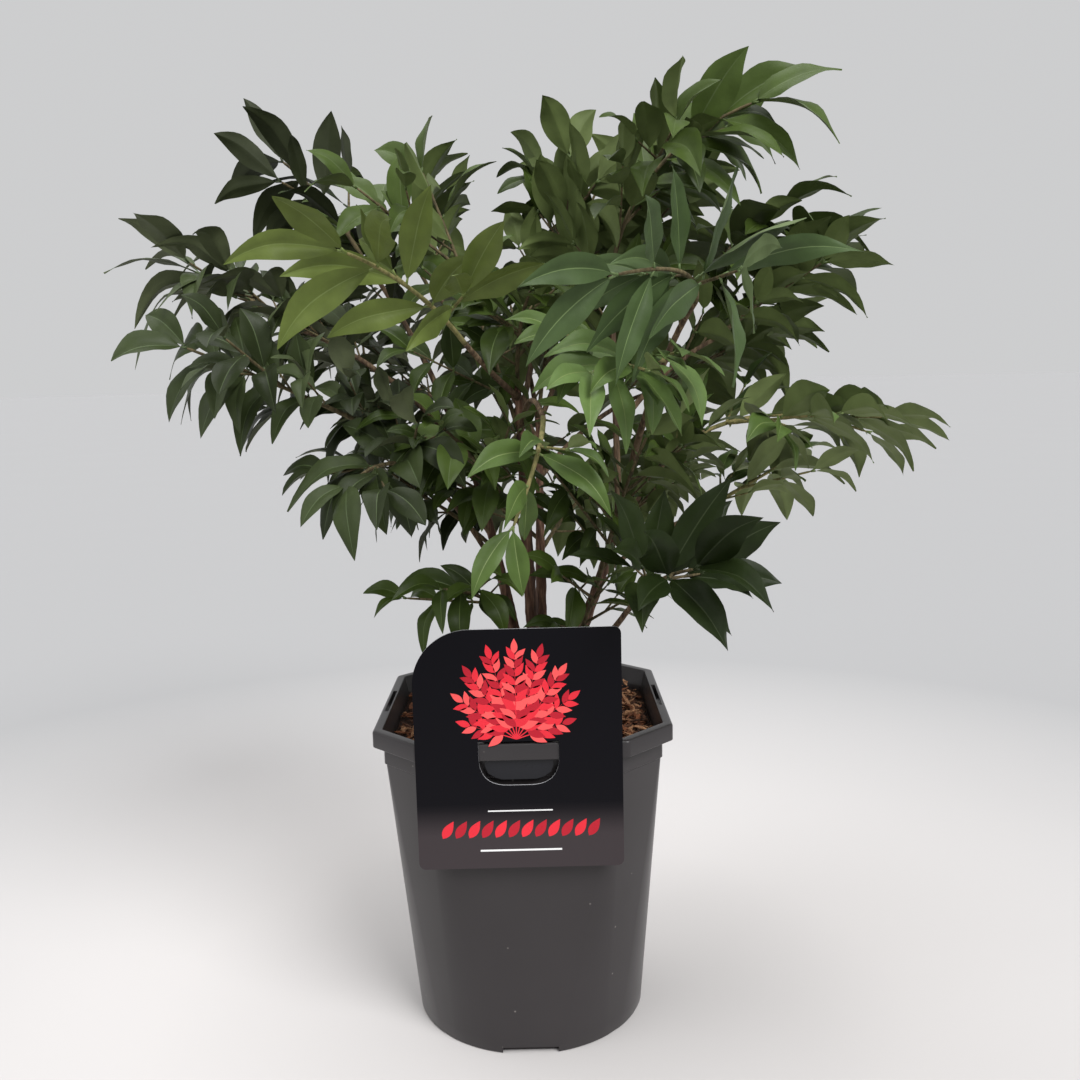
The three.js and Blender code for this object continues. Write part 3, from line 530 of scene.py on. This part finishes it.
def cut_pot(pot):
    """The slots through the lip and the drain notches at the foot."""
    blocks = [
        ((0, -SLOT_MIDDLE, POT_HEIGHT), (SLOT.width, SLOT.depth, LIP_HEIGHT * 3)),
        ((0, -FOOT_RADIUS, 0), (NOTCH.width, NOTCH.depth * 2, NOTCH.height * 2)),
    ]
    cutter = bmesh.new()
    for quarter in range(4):
        turn = Matrix.Rotation(quarter * math.pi / 2, 4, "Z")
        for centre, size in blocks:
            move = Matrix.Translation([value * MM for value in centre])
            scale = Matrix.Diagonal([value * MM for value in size] + [1])
            bmesh.ops.create_cube(cutter, size=1, matrix=turn @ move @ scale)
    mesh = bpy.data.meshes.new("cutter")
    cutter.to_mesh(mesh)
    cutter.free()
    tool = add_object("cutter", mesh)
    cut = pot.modifiers.new("cut", "BOOLEAN")
    cut.operation, cut.object, cut.solver = "DIFFERENCE", tool, "EXACT"
    mesh = applied(pot)
    pot.modifiers.clear()
    pot.data = mesh
    bpy.data.objects.remove(tool)


def soften(obj, degrees):
    """Smooth shading except over edges sharper than so many degrees."""
    obj.data.polygons.foreach_set("use_smooth", np.full(len(obj.data.polygons), True))
    shape = bmesh.new()
    shape.from_mesh(obj.data)
    for edge in shape.edges:
        edge.smooth = len(edge.link_faces) == 2 and edge.calc_face_angle(0) < math.radians(degrees)
    shape.to_mesh(obj.data)
    shape.free()


# The mulch: slivers of bark and wood strewn over the fill
def in_pot(x, y, inside):
    half = BODY_HALF - WALL - CLEAR - inside
    cut = RIM_CHAMFER * half / LIP_HALF
    return abs(x) < half and abs(y) < half and abs(x) + abs(y) < 2 * half - cut


def make_chips(woods):
    chance = np.random.default_rng(CHIPS.seed)
    piece = Piece("mulch_chips", woods)
    made = 0
    while made < CHIPS.count:
        x, y = chance.uniform(-BODY_HALF, BODY_HALF, 2)
        long = chance.uniform(*CHIPS.length) * chance.uniform(*CHIPS.cut)
        if not in_pot(x, y, long / 2) or math.hypot(x - COLLAR.x, y - COLLAR.y) < COLLAR.waist:
            continue
        wide = min(chance.uniform(*CHIPS.width), long * CHIPS.widest)
        thick = wide * chance.uniform(*CHIPS.thick)
        turn = chance.uniform(0, 2 * np.pi)
        tilt = chance.normal(0, CHIPS.tilt)
        ahead = place(math.degrees(turn), math.cos(tilt), math.sin(tilt))
        side = unit(np.cross(UP, ahead) + UP * chance.normal(0, CHIPS.roll))
        over = np.cross(ahead, side)
        lift = MULCH_LEVEL + MULCH_MOUND + chance.uniform(-0.5, 1) ** 2 * CHIPS.height
        centre = np.array([x, y, lift + long / 2 * abs(math.sin(tilt))])
        bend = chance.normal(0, CHIPS.bend) * long
        rings = [
            [
                centre + ahead * station * long + over * bend * (0.25 - station**2)
                + side * wide / 2 * fullness * a * chance.uniform(0.7, 1)
                + over * thick / 2 * fullness * b * chance.uniform(0.6, 1)
                for a, b in ((1, -1), (1, 1), (-1, 1), (-1, -1))
            ]
            for station, fullness in CHIPS.shape
        ]
        add_tube(piece, np.array(rings), int(chance.integers(len(woods))))
        made += 1
    piece.build("bark_mulch", smooth=False)


# The card label, its tongue and a plain printed pattern of leaves
def card_outline():
    left, right, bottom, top = CARD.sides
    small, big = CARD.corner, CARD.big_corner
    return (
        arc(right - small, bottom + small, small, -90, 0, 6)
        + arc(right - small, top - small, small, 0, 90, 6)
        + arc(left + big, top - big, big, 90, 180, 24)
        + arc(left + small, bottom + small, small, 180, 270, 6)
    )


def window_outline():
    left, right, bottom, top = WINDOW.sides
    size, shares = WINDOW.round, np.linspace(0, 1, 11)
    foot = [(left + size * share**2, bottom + size * (1 - share) ** 2) for share in shares]
    foot += [(right - size * (1 - share) ** 2, bottom + size * share**2) for share in shares]
    return [(left, top), *foot, (right, top)]


def make_card(gloss, edge):
    """The card's plate, from a filled curve that is turned upright."""
    curve = bpy.data.curves.new("card", "CURVE")
    curve.dimensions, curve.fill_mode = "2D", "BOTH"
    curve.extrude = CARD.thickness / 2 * MM
    for outline in (card_outline(), window_outline()):
        spline = curve.splines.new("POLY")
        spline.points.add(len(outline) - 1)
        for point, (x, z) in zip(spline.points, outline):
            point.co = (x * MM, z * MM, 0, 1)
        spline.use_cyclic_u = True
    holder = add_object("card_curve", curve)
    mesh = applied(holder)
    bpy.data.objects.remove(holder)
    upright = Matrix.Rotation(math.pi / 2, 4, "X")
    mesh.transform(Matrix.Translation((0, CARD_MIDDLE * MM, 0)) @ upright)
    mesh.materials.clear()
    for material in (gloss, edge):
        mesh.materials.append(material)
    for face in mesh.polygons:
        face.material_index = 0 if abs(face.normal.y) > 0.7 else 1
        face.use_smooth = False
    declare(add_object("card_plate", mesh), "card_plastic", ["card_label"])


def make_tongue(gloss):
    """The card's tongue, bent back over the lip and down into its slot."""
    left, right, bottom, top = WINDOW.sides
    middle = (left + right) / 2
    stations = [
        (CARD_MIDDLE, top + 3, 1), (CARD_MIDDLE, top + 1, 1), (CARD_MIDDLE + TONGUE.back, top, 1),
        (-SLOT_MIDDLE, POT_HEIGHT + CLEAR, 1),
    ]
    stations += [(-SLOT_MIDDLE, bottom + above, width) for above, width in TONGUE.taper]
    half = CARD.thickness / 2 - 0.05
    corners = ((-1, -1), (-1, 1), (1, 1), (1, -1))
    rings = [
        [(middle + TONGUE.width * width / 2 * a, y + half * b, z) for a, b in corners]
        for y, z, width in stations
    ]
    piece = Piece("card_tongue", [gloss])
    add_tube(piece, np.array(rings, float))
    piece.build("card_plastic", smooth=False)


def flat_shape(piece, outline, finish, lift=0.06):
    """A thin raised print in the plane of the card's front."""
    front, back = CARD_FRONT - lift, CARD_FRONT + 0.02
    points = [(x, front, z) for x, z in outline] + [(x, back, z) for x, z in outline]
    count = len(outline)
    faces = [list(range(count)), list(range(2 * count - 1, count - 1, -1))]
    faces += [[i, i + count, (i + 1) % count + count, (i + 1) % count] for i in range(count)]
    piece.add(points, faces, finish)


def leaf_outline(x, z, heading, length, width):
    """A pointed leaf's outline from its stalk at x and z."""
    ahead_x, ahead_z, _ = place(heading, 1, 0)
    shares = np.linspace(0, 1, 9)
    edge = [(share * length, width / 2 * math.sin(math.pi * share**0.8)) for share in shares]
    edge += [(u, -v) for u, v in edge[-2:0:-1]]
    return [(x + ahead_x * u - ahead_z * v, z + ahead_z * u + ahead_x * v) for u, v in edge][::-1]


# Sprigs of the print, a fan from one foot: the heading of each in degrees and its length. Each one's
# leaves stand open by less towards its tip, and every sprig lies a little over the one before it.
FAN_FOOT = (-3, 211)
SPRIGS = [(162, 28), (18, 28), (143, 38), (37, 38), (124, 45), (56, 45), (106, 50), (74, 50), (90, 51)]
SPRIG = Table(
    stem=0.4, apart=5.2, leaf=11, slim=0.42, open=52, closing=14, varies=9,
    tip_leaf=(9, 4), lift=0.04, step=0.014, leaf_lift=0.004,
)
GARLAND = Table(left=-48, right=38, height=151, leaves=12, length=12.5, width=5.6, turn=58)
RULES = [(-21, 17, 167, 0.8), (-26, 22, 142.5, 1.1)]


def add_sprig(piece, number, heading, length, reds):
    x, z = FAN_FOOT
    ahead_x, ahead_z, _ = place(heading, 1, 0)
    tip = (x + ahead_x * length, z + ahead_z * length)
    side_x, side_z = SPRIG.stem * ahead_z, -SPRIG.stem * ahead_x
    lift = SPRIG.lift + SPRIG.step * number
    flat_shape(piece, [(x + side_x, z + side_z), (x - side_x, z - side_z), tip], 0, lift)
    pairs = round(length / SPRIG.apart)
    for pair in range(1, pairs):
        share = (pair + 0.5) / (pairs + 0.2)
        root = (lerp(x, tip[0], share), lerp(z, tip[1], share))
        size = SPRIG.leaf * (1.1 - 0.3 * share)
        for hand in (-1, 1):
            spread = SPRIG.open - SPRIG.closing * share + SPRIG.varies * wobble(number, pair, hand)
            outline = leaf_outline(*root, heading + hand * spread, size, size * SPRIG.slim)
            flat_shape(piece, outline, (number + pair + (hand > 0)) % reds, lift + SPRIG.leaf_lift)
    outline = leaf_outline(*tip, heading, *SPRIG.tip_leaf)
    flat_shape(piece, outline, number % reds, lift + 2 * SPRIG.leaf_lift)


def make_print(reds, pale):
    """Leaf sprigs over the card's upper part, a row of leaves under its window, and two plain rules."""
    piece = Piece("card_print", [*reds, pale])
    for number, (heading, length) in enumerate(SPRIGS):
        add_sprig(piece, number, heading, length, len(reds))
    for number, x in enumerate(np.linspace(GARLAND.left, GARLAND.right, GARLAND.leaves)):
        size = (GARLAND.length, GARLAND.width)
        flat_shape(piece, leaf_outline(x, GARLAND.height, GARLAND.turn, *size), number % 2)
    for left, right, z, tall in RULES:
        corners = [(right, z), (left, z), (left, z + tall), (right, z + tall)]
        flat_shape(piece, corners[::-1], len(reds))
    piece.build("card_plastic", smooth=False)


# Limbs, grown by the solids' rule
COLLAR_TOP = np.array([COLLAR.x, COLLAR.y, MULCH_LEVEL + MULCH_MOUND + COLLAR.height])


def limb_curves():
    curves = {}
    for name, (parent, at, azimuth, reach, height, _, _, bow) in LIMBS.items():
        end = place(azimuth, reach, height)
        if parent == "root_collar":
            outward = unit((end - COLLAR_TOP) * [1, 1, 0])
            start = COLLAR_TOP + outward * STEM_RING - UP * COLLAR.height * 0.5
        else:
            start = curves[parent].point(at)
        span = end - start
        middle = start + span * 0.5 + UP * bow * np.linalg.norm(span)
        curves[name] = Curve(start, middle, end)
    return curves


def bark_relief(shares, length, sides, key, ridges, depth):
    """Corky ridges along a limb, and finer bumps between them, as shares of its radius."""
    along = shares[:, None] * length
    angle = 2 * np.pi * np.arange(sides)[None, :] / sides
    wings = np.abs(np.cos(angle * ridges / 2 + 0.012 * along + key)) ** 5
    broken = 0.7 + 0.3 * np.sin(along * 0.31 + 2.1 * key) * np.sin(along * 0.13 + angle)
    bumps = np.sin(3 * angle + along * 0.47 + key) * np.sin(along * 0.83 - 2 * angle + 3 * key)
    return 1 - depth * 0.35 + depth * wings * broken + 0.045 * bumps


# How stems and boughs are skinned: the length and the number of their faces, how deep their ridges
# are, and how far and how high their foot flares
BARK = {"stem": (2.6, 24, 0.26, 0.22, 14), "bough": (3, 14, 0.16, 0.35, 5)}


def make_bark(curves, woody, brown):
    pieces = {"stem": Piece("stems_bark", [woody]), "bough": Piece("boughs_bark", [brown])}
    nodes = {"stem": ["root_collar"], "bough": []}
    for key, (name, (parent, _, _, _, _, foot, tip, _)) in enumerate(LIMBS.items()):
        kind = "stem" if parent == "root_collar" else "bough"
        step, sides, depth, flare, flare_height = BARK[kind]
        curve = curves[name]
        shares = np.linspace(0, 1, max(8, round(curve.length / step)) + 1)
        relief = bark_relief(shares, curve.length, sides, key, 4, depth)
        flared = 1 + flare * np.exp(-shares * curve.length / flare_height)
        radii = lerp(foot, tip, shares) / 2 * flared
        add_tube(pieces[kind], tube_rings(curve, shares, radii, sides, relief))
        nodes[kind].append(name)
    add_collar(pieces["stem"])
    for kind, piece in pieces.items():
        piece.build("stem_bark", nodes[kind])


def add_collar(piece):
    """The flared foot from which the stems rise."""
    foot = COLLAR_TOP - UP * (COLLAR.height + COLLAR.sunk)
    curve = Curve(foot, (foot + COLLAR_TOP) / 2, COLLAR_TOP)
    shares = np.linspace(0, 1, 22)
    relief = bark_relief(shares, curve.length, COLLAR.sides, 5, COLLAR.ridges, 0.12)
    radii = lerp(COLLAR.waist, COLLAR.foot, np.maximum(0, 1 - shares / 0.42) ** 1.6)
    radii -= (COLLAR.waist - COLLAR.head) * np.clip((shares - 0.4) / 0.55, 0, 1)
    radii *= np.sqrt(np.clip(1.02 - np.maximum(0, shares - 0.86) / 0.14, 0.05, 1))
    add_tube(piece, tube_rings(curve, shares, radii, COLLAR.sides, relief))


# Shoots and leaves, grown by the solids' rule and carried to finer twigs
def lead_curve(row, limbs):
    limb = limbs[row["on"]]
    start = limb.point(row["at"])
    tip = place(row["azimuth"], row["reach"], row["height"])
    span = tip - start
    length = np.linalg.norm(span)
    flow = limb.tangent(1) if row["at"] == 1 else unit(span)
    middle = start + flow * length * LEAD_SHOOT.ahead + span * LEAD_SHOOT.along
    return Curve(start, middle + UP * row["arch"] * length, tip)


def shoot_curve(parent, share, hand, rise, ahead, aside, reach):
    """A straight shoot to one side of its parent."""
    start = parent.point(share)
    flow = parent.tangent(share)
    heading = unit(flow * ahead + UP * rise + parent.across() * aside * hand)
    return Curve(start, start + heading * reach / 2, start + heading * reach)


def side_shoots(kind, parent, row, index):
    """(curve, kind, leaf size) of the shoots along a lead or a limb, to either side in turn."""
    first, start, over, ahead, aside, up, up_varies, reach, falls, varies, leaf = SHOOTS[kind]
    rise, length = (0, 1) if kind == "inner" else (row["rise"], parent.length)
    shown = min(row["side"], row["shown"]) if kind == "side" else row[kind]
    for order in range(first, first + shown):
        share = start + over * (order - first + 0.5) / row[kind]
        hand = 1 if (order + index) % 2 else -1
        lean = rise + up + up_varies * wobble(index, order, 1)
        size = length * (reach - falls * share) * (1 + varies * wobble(index, order, 2))
        curve = shoot_curve(parent, share, hand, lean, ahead, aside, size)
        yield curve, "side" if kind == "side" else "fine", row["leaf"] * leaf


def shoots_of(row, index, limbs):
    """A mass's lead shoot and side shoots as in the solids, then its finer ones."""
    lead = lead_curve(row, limbs)
    sides = list(side_shoots("side", lead, row, index))
    spurs = []
    at, ahead, aside, up, up_varies, reach, leaf = SPUR
    for order, (side, _, _) in enumerate(sides[:row["spurs"]], 1):
        hand = 1 if wobble(index, order, 31) > 0 else -1
        lean = up + up_varies * wobble(index, order, 32)
        curve = shoot_curve(side, at, hand, lean, ahead, aside, side.length * reach)
        spurs.append((curve, "fine", row["leaf"] * leaf))
    return [
        (lead, "lead", row["leaf"]),
        *sides,
        *side_shoots("fine", lead, row, index),
        *side_shoots("inner", limbs[row["on"]], row, index),
        *spurs,
    ]


def leaf_pairs(curve, row, index, order, size, kind):
    """Opposite pairs from a shoot's tip back to its bare foot."""
    across = curve.across()
    pair = 0
    while True:
        share = 1 - (pair * SPACING[kind] * row["spacing"] + PAIRS.from_tip) / curve.length
        if share < max(BARE[kind], row["bare"]):
            return
        root, flow = curve.point(share), curve.tangent(share)
        side = unit(across - flow * (across @ flow))
        over = np.cross(side, flow)
        upright = smoothstep(abs(flow[2]), *PAIRS.upright)
        turn = math.radians(row["turn"] + (90 * upright if pair % 2 else 0))
        plane = side * math.cos(turn) + over * math.sin(turn)
        above = np.cross(plane, flow)
        tilt = PAIRS.tilts[pair % 2] * (1 - upright)
        opening = row["spread"] + PAIRS.opening * min(pair, 3) if pair else PAIRS.tip_spread
        length = size * row["scale"] * PAIRS.growth[min(pair, 4)]
        for hand in (-1, 1):
            def varied(key, number):
                return VARIES[key] * wobble(index, order, pair, hand + number)

            roll = math.radians(tilt + varied("roll", 2))
            spread = math.radians(opening + varied("spread", 5))
            out = plane * hand * math.cos(roll) + above * math.sin(roll)
            lift = UP * (row["lift"] - PAIRS.dip)
            facing = unit(root * [1, 1, 0]) * row["outward"] + UP * PAIRS.upward
            facing = unit(facing + above * row["flat"] + across * varied("facing", 8))
            yield {
                **row,
                "root": root,
                "along": unit(flow * math.cos(spread) + out * math.sin(spread) + lift),
                "facing": facing,
                "length": length * (1 + varied("length", 11)),
                "droop": row["droop"] * (1 - PAIRS.stiffness * upright) * (1 + varied("droop", 14)),
                "chance": [wobble(index, order, pair, hand + number) for number in (17, 20, 23, 26, 29)],
            }
        pair += 1


def grow_foliage(limbs):
    """Every shoot, and every leaf that keeps clear of the limbs and of the leaves before it."""
    shares = np.linspace(0, 1, 60)[:, None]
    wood = np.concatenate([curve.point(shares) for curve in limbs.values()])
    centres = np.empty((MOST_BLADES, 3))
    shoots, leaves = [], []
    for index, (name, row) in enumerate(MASSES.items()):
        for order, (curve, kind, size) in enumerate(shoots_of(row, index, limbs)):
            shoots.append((name, curve, kind))
            spray = wobble(index, order, 41)
            for leaf in leaf_pairs(curve, row, index, order, size, kind):
                count = len(leaves)
                reach = leaf["length"] * np.array([0.35, 0.6, 0.85])[:, None]
                blade = leaf["root"] + leaf["along"] * reach
                blade = blade - UP * leaf["droop"] * reach**2 / leaf["length"]
                near_wood = np.linalg.norm(wood[None] - blade[:, None], axis=2).min()
                near_leaf = np.linalg.norm(centres[:count] - blade[1], axis=1).min(initial=math.inf)
                if near_wood < LEAF_CLEAR.limb or near_leaf < LEAF_CLEAR.leaf:
                    continue
                centres[count] = blade[1]
                leaves.append({**leaf, "mass": name, "spray": spray})
    return shoots, leaves


# Leaf blades: a grid of faces for the upper side and another for the underside, which meet at the rim.
# The measures are shares of the blade's length or width, apart from slimming, rim and thickness.
BLADE_ROWS = 12
BLADE_COLUMNS = np.array([-1, -0.64, -0.3, -0.036, 0.036, 0.3, 0.64, 1])
BLADE = Table(
    width=0.41, slimming=0.0016, slim_from=30, least_width=0.3, width_varies=0.13,
    stalk=0.075, slant=0.5, rim=(0.5, 0.12), thickness=0.16,
    fold=0.5, fold_varies=0.25, cup=0.26, veins=0.00832, wave=0.012, waves=16,
    curl_from=0.55, curl_varies=0.9, curl_down=0.8, curl_under=0.35, sweep=0.09,
)


def half_width(q, blunt):
    """Half of the blade's width along it, as a share of the widest, with a drawn out or a blunt tip."""
    body = np.sin(np.pi * np.clip(q, 0, 1) ** (0.86 + 0.34 * blunt)) ** (0.92 - 0.14 * blunt)
    return body * (1 - 0.42 * (1 - blunt) * np.clip((q - 0.68) / 0.32, 0, 1) ** 1.3)


def blades(leaves):
    """Upper and under grids of points for many leaves at once, and the points where each blade begins."""
    def column(key):
        return np.array([leaf[key] for leaf in leaves])[:, None, None]

    root, along, facing = column("root"), column("along"), column("facing")
    length, droop = column("length"), column("droop")
    width, fold, curl, phase, sweep = np.moveaxis(column("chance"), -1, 0)
    row = np.linspace(0, 1, BLADE_ROWS + 1)[None, :, None]
    c = BLADE_COLUMNS[None, None, :]
    q = row + BLADE.slant * np.abs(c) * row * (1 - row) ** 2 * row
    s = BLADE.stalk + (1 - BLADE.stalk) * q
    late = np.maximum(0, s - BLADE.curl_from)
    bend = column("curl") * (1 + BLADE.curl_varies * curl)
    turn = BLADE.sweep * sweep
    down = along * along[..., 2:] - UP
    under = unit(facing - along * (along * facing).sum(-1, keepdims=True))
    back = down * BLADE.curl_down - under * BLADE.curl_under
    aside = np.cross(along, facing)
    sag = down * (droop * s**2)[..., None] + back * (bend * late**2)[..., None]
    at = root + (along * s[..., None] + sag + aside * (turn * s**2)[..., None]) * length[..., None]
    slope = down * (2 * droop * s)[..., None] + back * (2 * bend * late)[..., None]
    flow = unit(along + slope + aside * (2 * turn * s)[..., None])
    normal = unit(facing - flow * (flow * facing).sum(-1, keepdims=True))
    side = np.cross(flow, normal)
    slimmer = BLADE.width - BLADE.slimming * (length - BLADE.slim_from)
    broad = column("slim") * length * np.maximum(BLADE.least_width, slimmer)
    broad = broad * (1 + BLADE.width_varies * width)
    half = broad / 2 * half_width(q, column("blunt")) + lerp(*BLADE.rim, q)
    rise = half * ((BLADE.fold + BLADE.fold_varies * fold) * np.abs(c) - BLADE.cup * c**2)
    wave = np.sin(BLADE.waves * s + 3 * phase + 1.4 * np.sign(c))
    odd = np.where(np.arange(BLADE_ROWS + 1) % 2, 1, -1)[None, :, None]
    vein = odd * np.abs(c) * (1 - np.abs(c)) * np.sin(np.pi * row)
    rise = rise + length * (BLADE.wave * c**2 * wave + BLADE.veins * vein)
    middle = at + side * (half * c)[..., None] + normal * rise[..., None]
    thick = normal * (BLADE.thickness * (1 - c**2) * np.sin(np.pi * row) ** 0.5)[..., None]
    return middle + thick, middle - thick, at[:, 0, BLADE_COLUMNS.size // 2]


def add_leaves(piece, leaves, tops):
    """Leaves in a piece whose materials are the underside, the rib, and then the upper sides."""
    upper, under, start = blades(leaves)
    wide = BLADE_COLUMNS.size
    strips = wide - 1
    corners = [row * wide + column for row in range(BLADE_ROWS) for column in range(strips)]
    over_faces = [[a, a + wide, a + wide + 1, a + 1] for a in corners]
    under_faces = [[a, d, c, b] for a, b, c, d in over_faces]
    for i, leaf in enumerate(leaves):
        tone = 2 + min(int((leaf["spray"] + 1) / 2 * tops), tops - 1)
        finish = [1 if face % strips == strips // 2 else tone for face in range(len(over_faces))]
        piece.add(upper[i], over_faces, finish)
        piece.add(under[i], under_faces)
        foot = leaf["root"] - leaf["along"] * STALK.inset
        stalk = Curve(foot, (foot + start[i]) / 2, start[i])
        add_tube(piece, tube_rings(stalk, np.array([0.0, 1.0]), STALK.radii, STALK.sides), 1)


def make_twigs(shoots, woody, young):
    """Twigs, slightly swollen where their leaves stand, in a woody piece and a young green one."""
    greens = {name for name, row in MASSES.items() if row["tone"] in ("bright", "pale")}
    pieces = {False: Piece("twigs_woody", [woody]), True: Piece("twigs_young", [young])}
    for name, curve, kind in shoots:
        foot, tip = TWIG[kind]
        shares = np.linspace(0, 1, max(4, round(curve.length / TWIG_SKIN.step)) + 1)
        nodes = np.cos(2 * np.pi * (1 - shares) * curve.length / SPACING[kind])
        radii = lerp(foot, tip, shares) / 2 * (1 + TWIG_SKIN.swelling * np.maximum(0, nodes) ** 6)
        radii[-1] *= TWIG_SKIN.tip
        add_tube(pieces[name in greens], tube_rings(curve, shares, radii, TWIG_SKIN.sides))
    for green, piece in pieces.items():
        nodes = [f"{name}_foliage" for name in MASSES if (name in greens) == green]
        piece.build("leaf_pale" if green else "stem_bark", nodes)


# Colour families: slot, underside, rib, and the upper sides that are dealt out by shoot
TONES = {
    "dark": ("leaf_dark", (80, 87, 60), (66, 80, 46), (38, 46, 24), (50, 60, 32), (64, 74, 46)),
    "deep": ("leaf_dark", (42, 48, 26), (44, 54, 27), (28, 38, 14), (36, 47, 19), (45, 57, 27)),
    "green": ("leaf_green", (86, 99, 54), (72, 88, 42), (44, 57, 20), (55, 70, 25), (64, 80, 34)),
    "bright": ("leaf_bright", (100, 114, 60), (104, 118, 60), (81, 94, 43), (92, 105, 50)),
    "pale": ("leaf_pale", (106, 119, 72), (102, 118, 66), (70, 89, 42), (86, 107, 58), (61, 78, 38)),
    "blue": ("leaf_blue", (96, 111, 73), (98, 117, 72), (65, 82, 48), (78, 95, 60)),
}
MOST_LEAVES = 520


def make_leaves(leaves):
    for tone, (slot, under, rib, *tops) in TONES.items():
        finishes = [leaf_finish(f"{tone}_underside", under, 0.62, 0.25)]
        finishes.append(leaf_finish(f"{tone}_rib", rib, 0.5, 0.35))
        finishes += [leaf_finish(f"{tone}_leaf_{i}", color) for i, color in enumerate(tops, 1)]
        batches = [{}]
        for name in [name for name, row in MASSES.items() if row["tone"] == tone]:
            here = [leaf for leaf in leaves if leaf["mass"] == name]
            if sum(map(len, batches[-1].values())) + len(here) > MOST_LEAVES:
                batches.append({})
            batches[-1][name] = here
        for number, batch in enumerate(batches, 1):
            piece = Piece(f"leaves_{tone}_{number}", finishes)
            add_leaves(piece, sum(batch.values(), []), len(tops))
            piece.build(slot, [f"{name}_foliage" for name in batch])


# Everything on the object
limbs = limb_curves()
make_pot(pot_finish())
make_chips([
    wood_finish("chip_red_brown", (78, 46, 32), (140, 90, 62)),
    wood_finish("chip_dark", (46, 30, 23), (92, 62, 46)),
    wood_finish("chip_tan", (110, 76, 54), (178, 134, 100)),
])
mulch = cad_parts["mulch"]
mulch.data.materials.clear()
mulch.data.materials.append(wood_finish("mulch_fill", (36, 24, 19), (74, 50, 38)))
make_card(
    # The card's black, with a painted reflection in dark grey at its foot
    card_finish("card_black_painted_sheen", (9, 8, 13), 0.2, 0.12, (57, 51, 53)),
    card_finish("card_edge", (188, 188, 192), 0.4),
)
make_tongue(card_finish("card_tongue", (26, 26, 30), 0.26))
make_print(
    [
        card_finish(f"print_{name}", color, 0.24)
        for name, color in (("red", (214, 40, 54)), ("crimson", (172, 22, 40)), ("coral", (232, 84, 84)))
    ],
    card_finish("print_white", (222, 222, 222), 0.28),
)
make_bark(
    limbs,
    bark_finish("stem_bark", (58, 42, 35), (98, 72, 58), (146, 114, 94)),
    bark_finish("bough_bark", (62, 48, 38), (94, 76, 58), (128, 108, 84)),
)
shoots, leaves = grow_foliage(limbs)
make_twigs(
    shoots,
    bark_finish("twig_woody", (62, 56, 38), (88, 78, 54), (112, 100, 72)),
    bark_finish("twig_young", (88, 86, 50), (112, 108, 66), (136, 124, 84)),
)
make_leaves(leaves)


# The stage: floor, soft light and the photograph's camera
def make_stage():
    """A pale floor with a painted pool of light at the pot, greyer further out, and a plain bright world.
    """
    floor = bmesh.new()
    bmesh.ops.create_circle(floor, cap_ends=True, segments=96, radius=40)
    mesh = bpy.data.meshes.new("floor")
    floor.to_mesh(mesh)
    floor.free()
    finish = Finish("floor_pale_painted_light_pool", (190, 188, 187), 0.8, 0.1)
    painted_light_pool = finish.node("ShaderNodeTexGradient", {"Vector": finish.place})
    painted_light_pool.gradient_type = "SPHERICAL"
    # Painted light: lighter round the pot and greyer further out
    finish.color_by(painted_light_pool.outputs["Fac"], (0.1, (155, 155, 156)), (0.75, (194, 191, 190)))
    finish.roughness_by(finish.noise(3, 3), 0.75, 0.85)
    mesh.materials.append(finish.material)
    add_object("floor", mesh)
    world = bpy.data.worlds.new("studio")
    world.use_nodes = True
    background = world.node_tree.nodes["Background"]
    background.inputs["Color"].default_value = (0.985, 0.99, 1, 1)
    background.inputs["Strength"].default_value = 0.62
    bpy.context.scene.world = world
    bpy.context.scene.view_settings.view_transform = "Standard"


def add_light(name, azimuth, elevation, spread, strength):
    """A distant soft light: the way to it and the angle that it fills, in degrees, and its strength."""
    light = bpy.data.lights.new(name, "SUN")
    light.angle, light.energy = math.radians(spread), strength
    rise = math.radians(elevation)
    toward = Vector(place(azimuth, math.cos(rise), math.sin(rise)))
    obj = add_object(name, light)
    obj.location = toward * 3
    obj.rotation_mode = "QUATERNION"
    obj.rotation_quaternion = toward.to_track_quat("Z", "Y")


def make_camera():
    """The photograph's camera: its place, tilt, roll and focal length fit the pot and the card in it."""
    tilt, roll = 0.1504, -0.0245
    focal, picture, sensor = 1106.8, 1080, 36
    camera = bpy.data.cameras.new("camera")
    camera.sensor_width = sensor
    camera.lens = sensor * focal / picture
    camera.clip_start = 0.01
    turn = Matrix.Rotation(math.pi / 2 - tilt, 4, "X") @ Matrix.Rotation(roll, 4, "Z")
    obj = add_object("camera", camera)
    obj.matrix_world = Matrix.Translation((0.0134, -0.7105, 0.4211)) @ turn
    bpy.context.scene.camera = obj


make_stage()
add_light("key", 305, 41, 30, 3)
add_light("fill", 215, 35, 40, 0.7)
add_light("top", 150, 75, 50, 1.6)
make_camera()
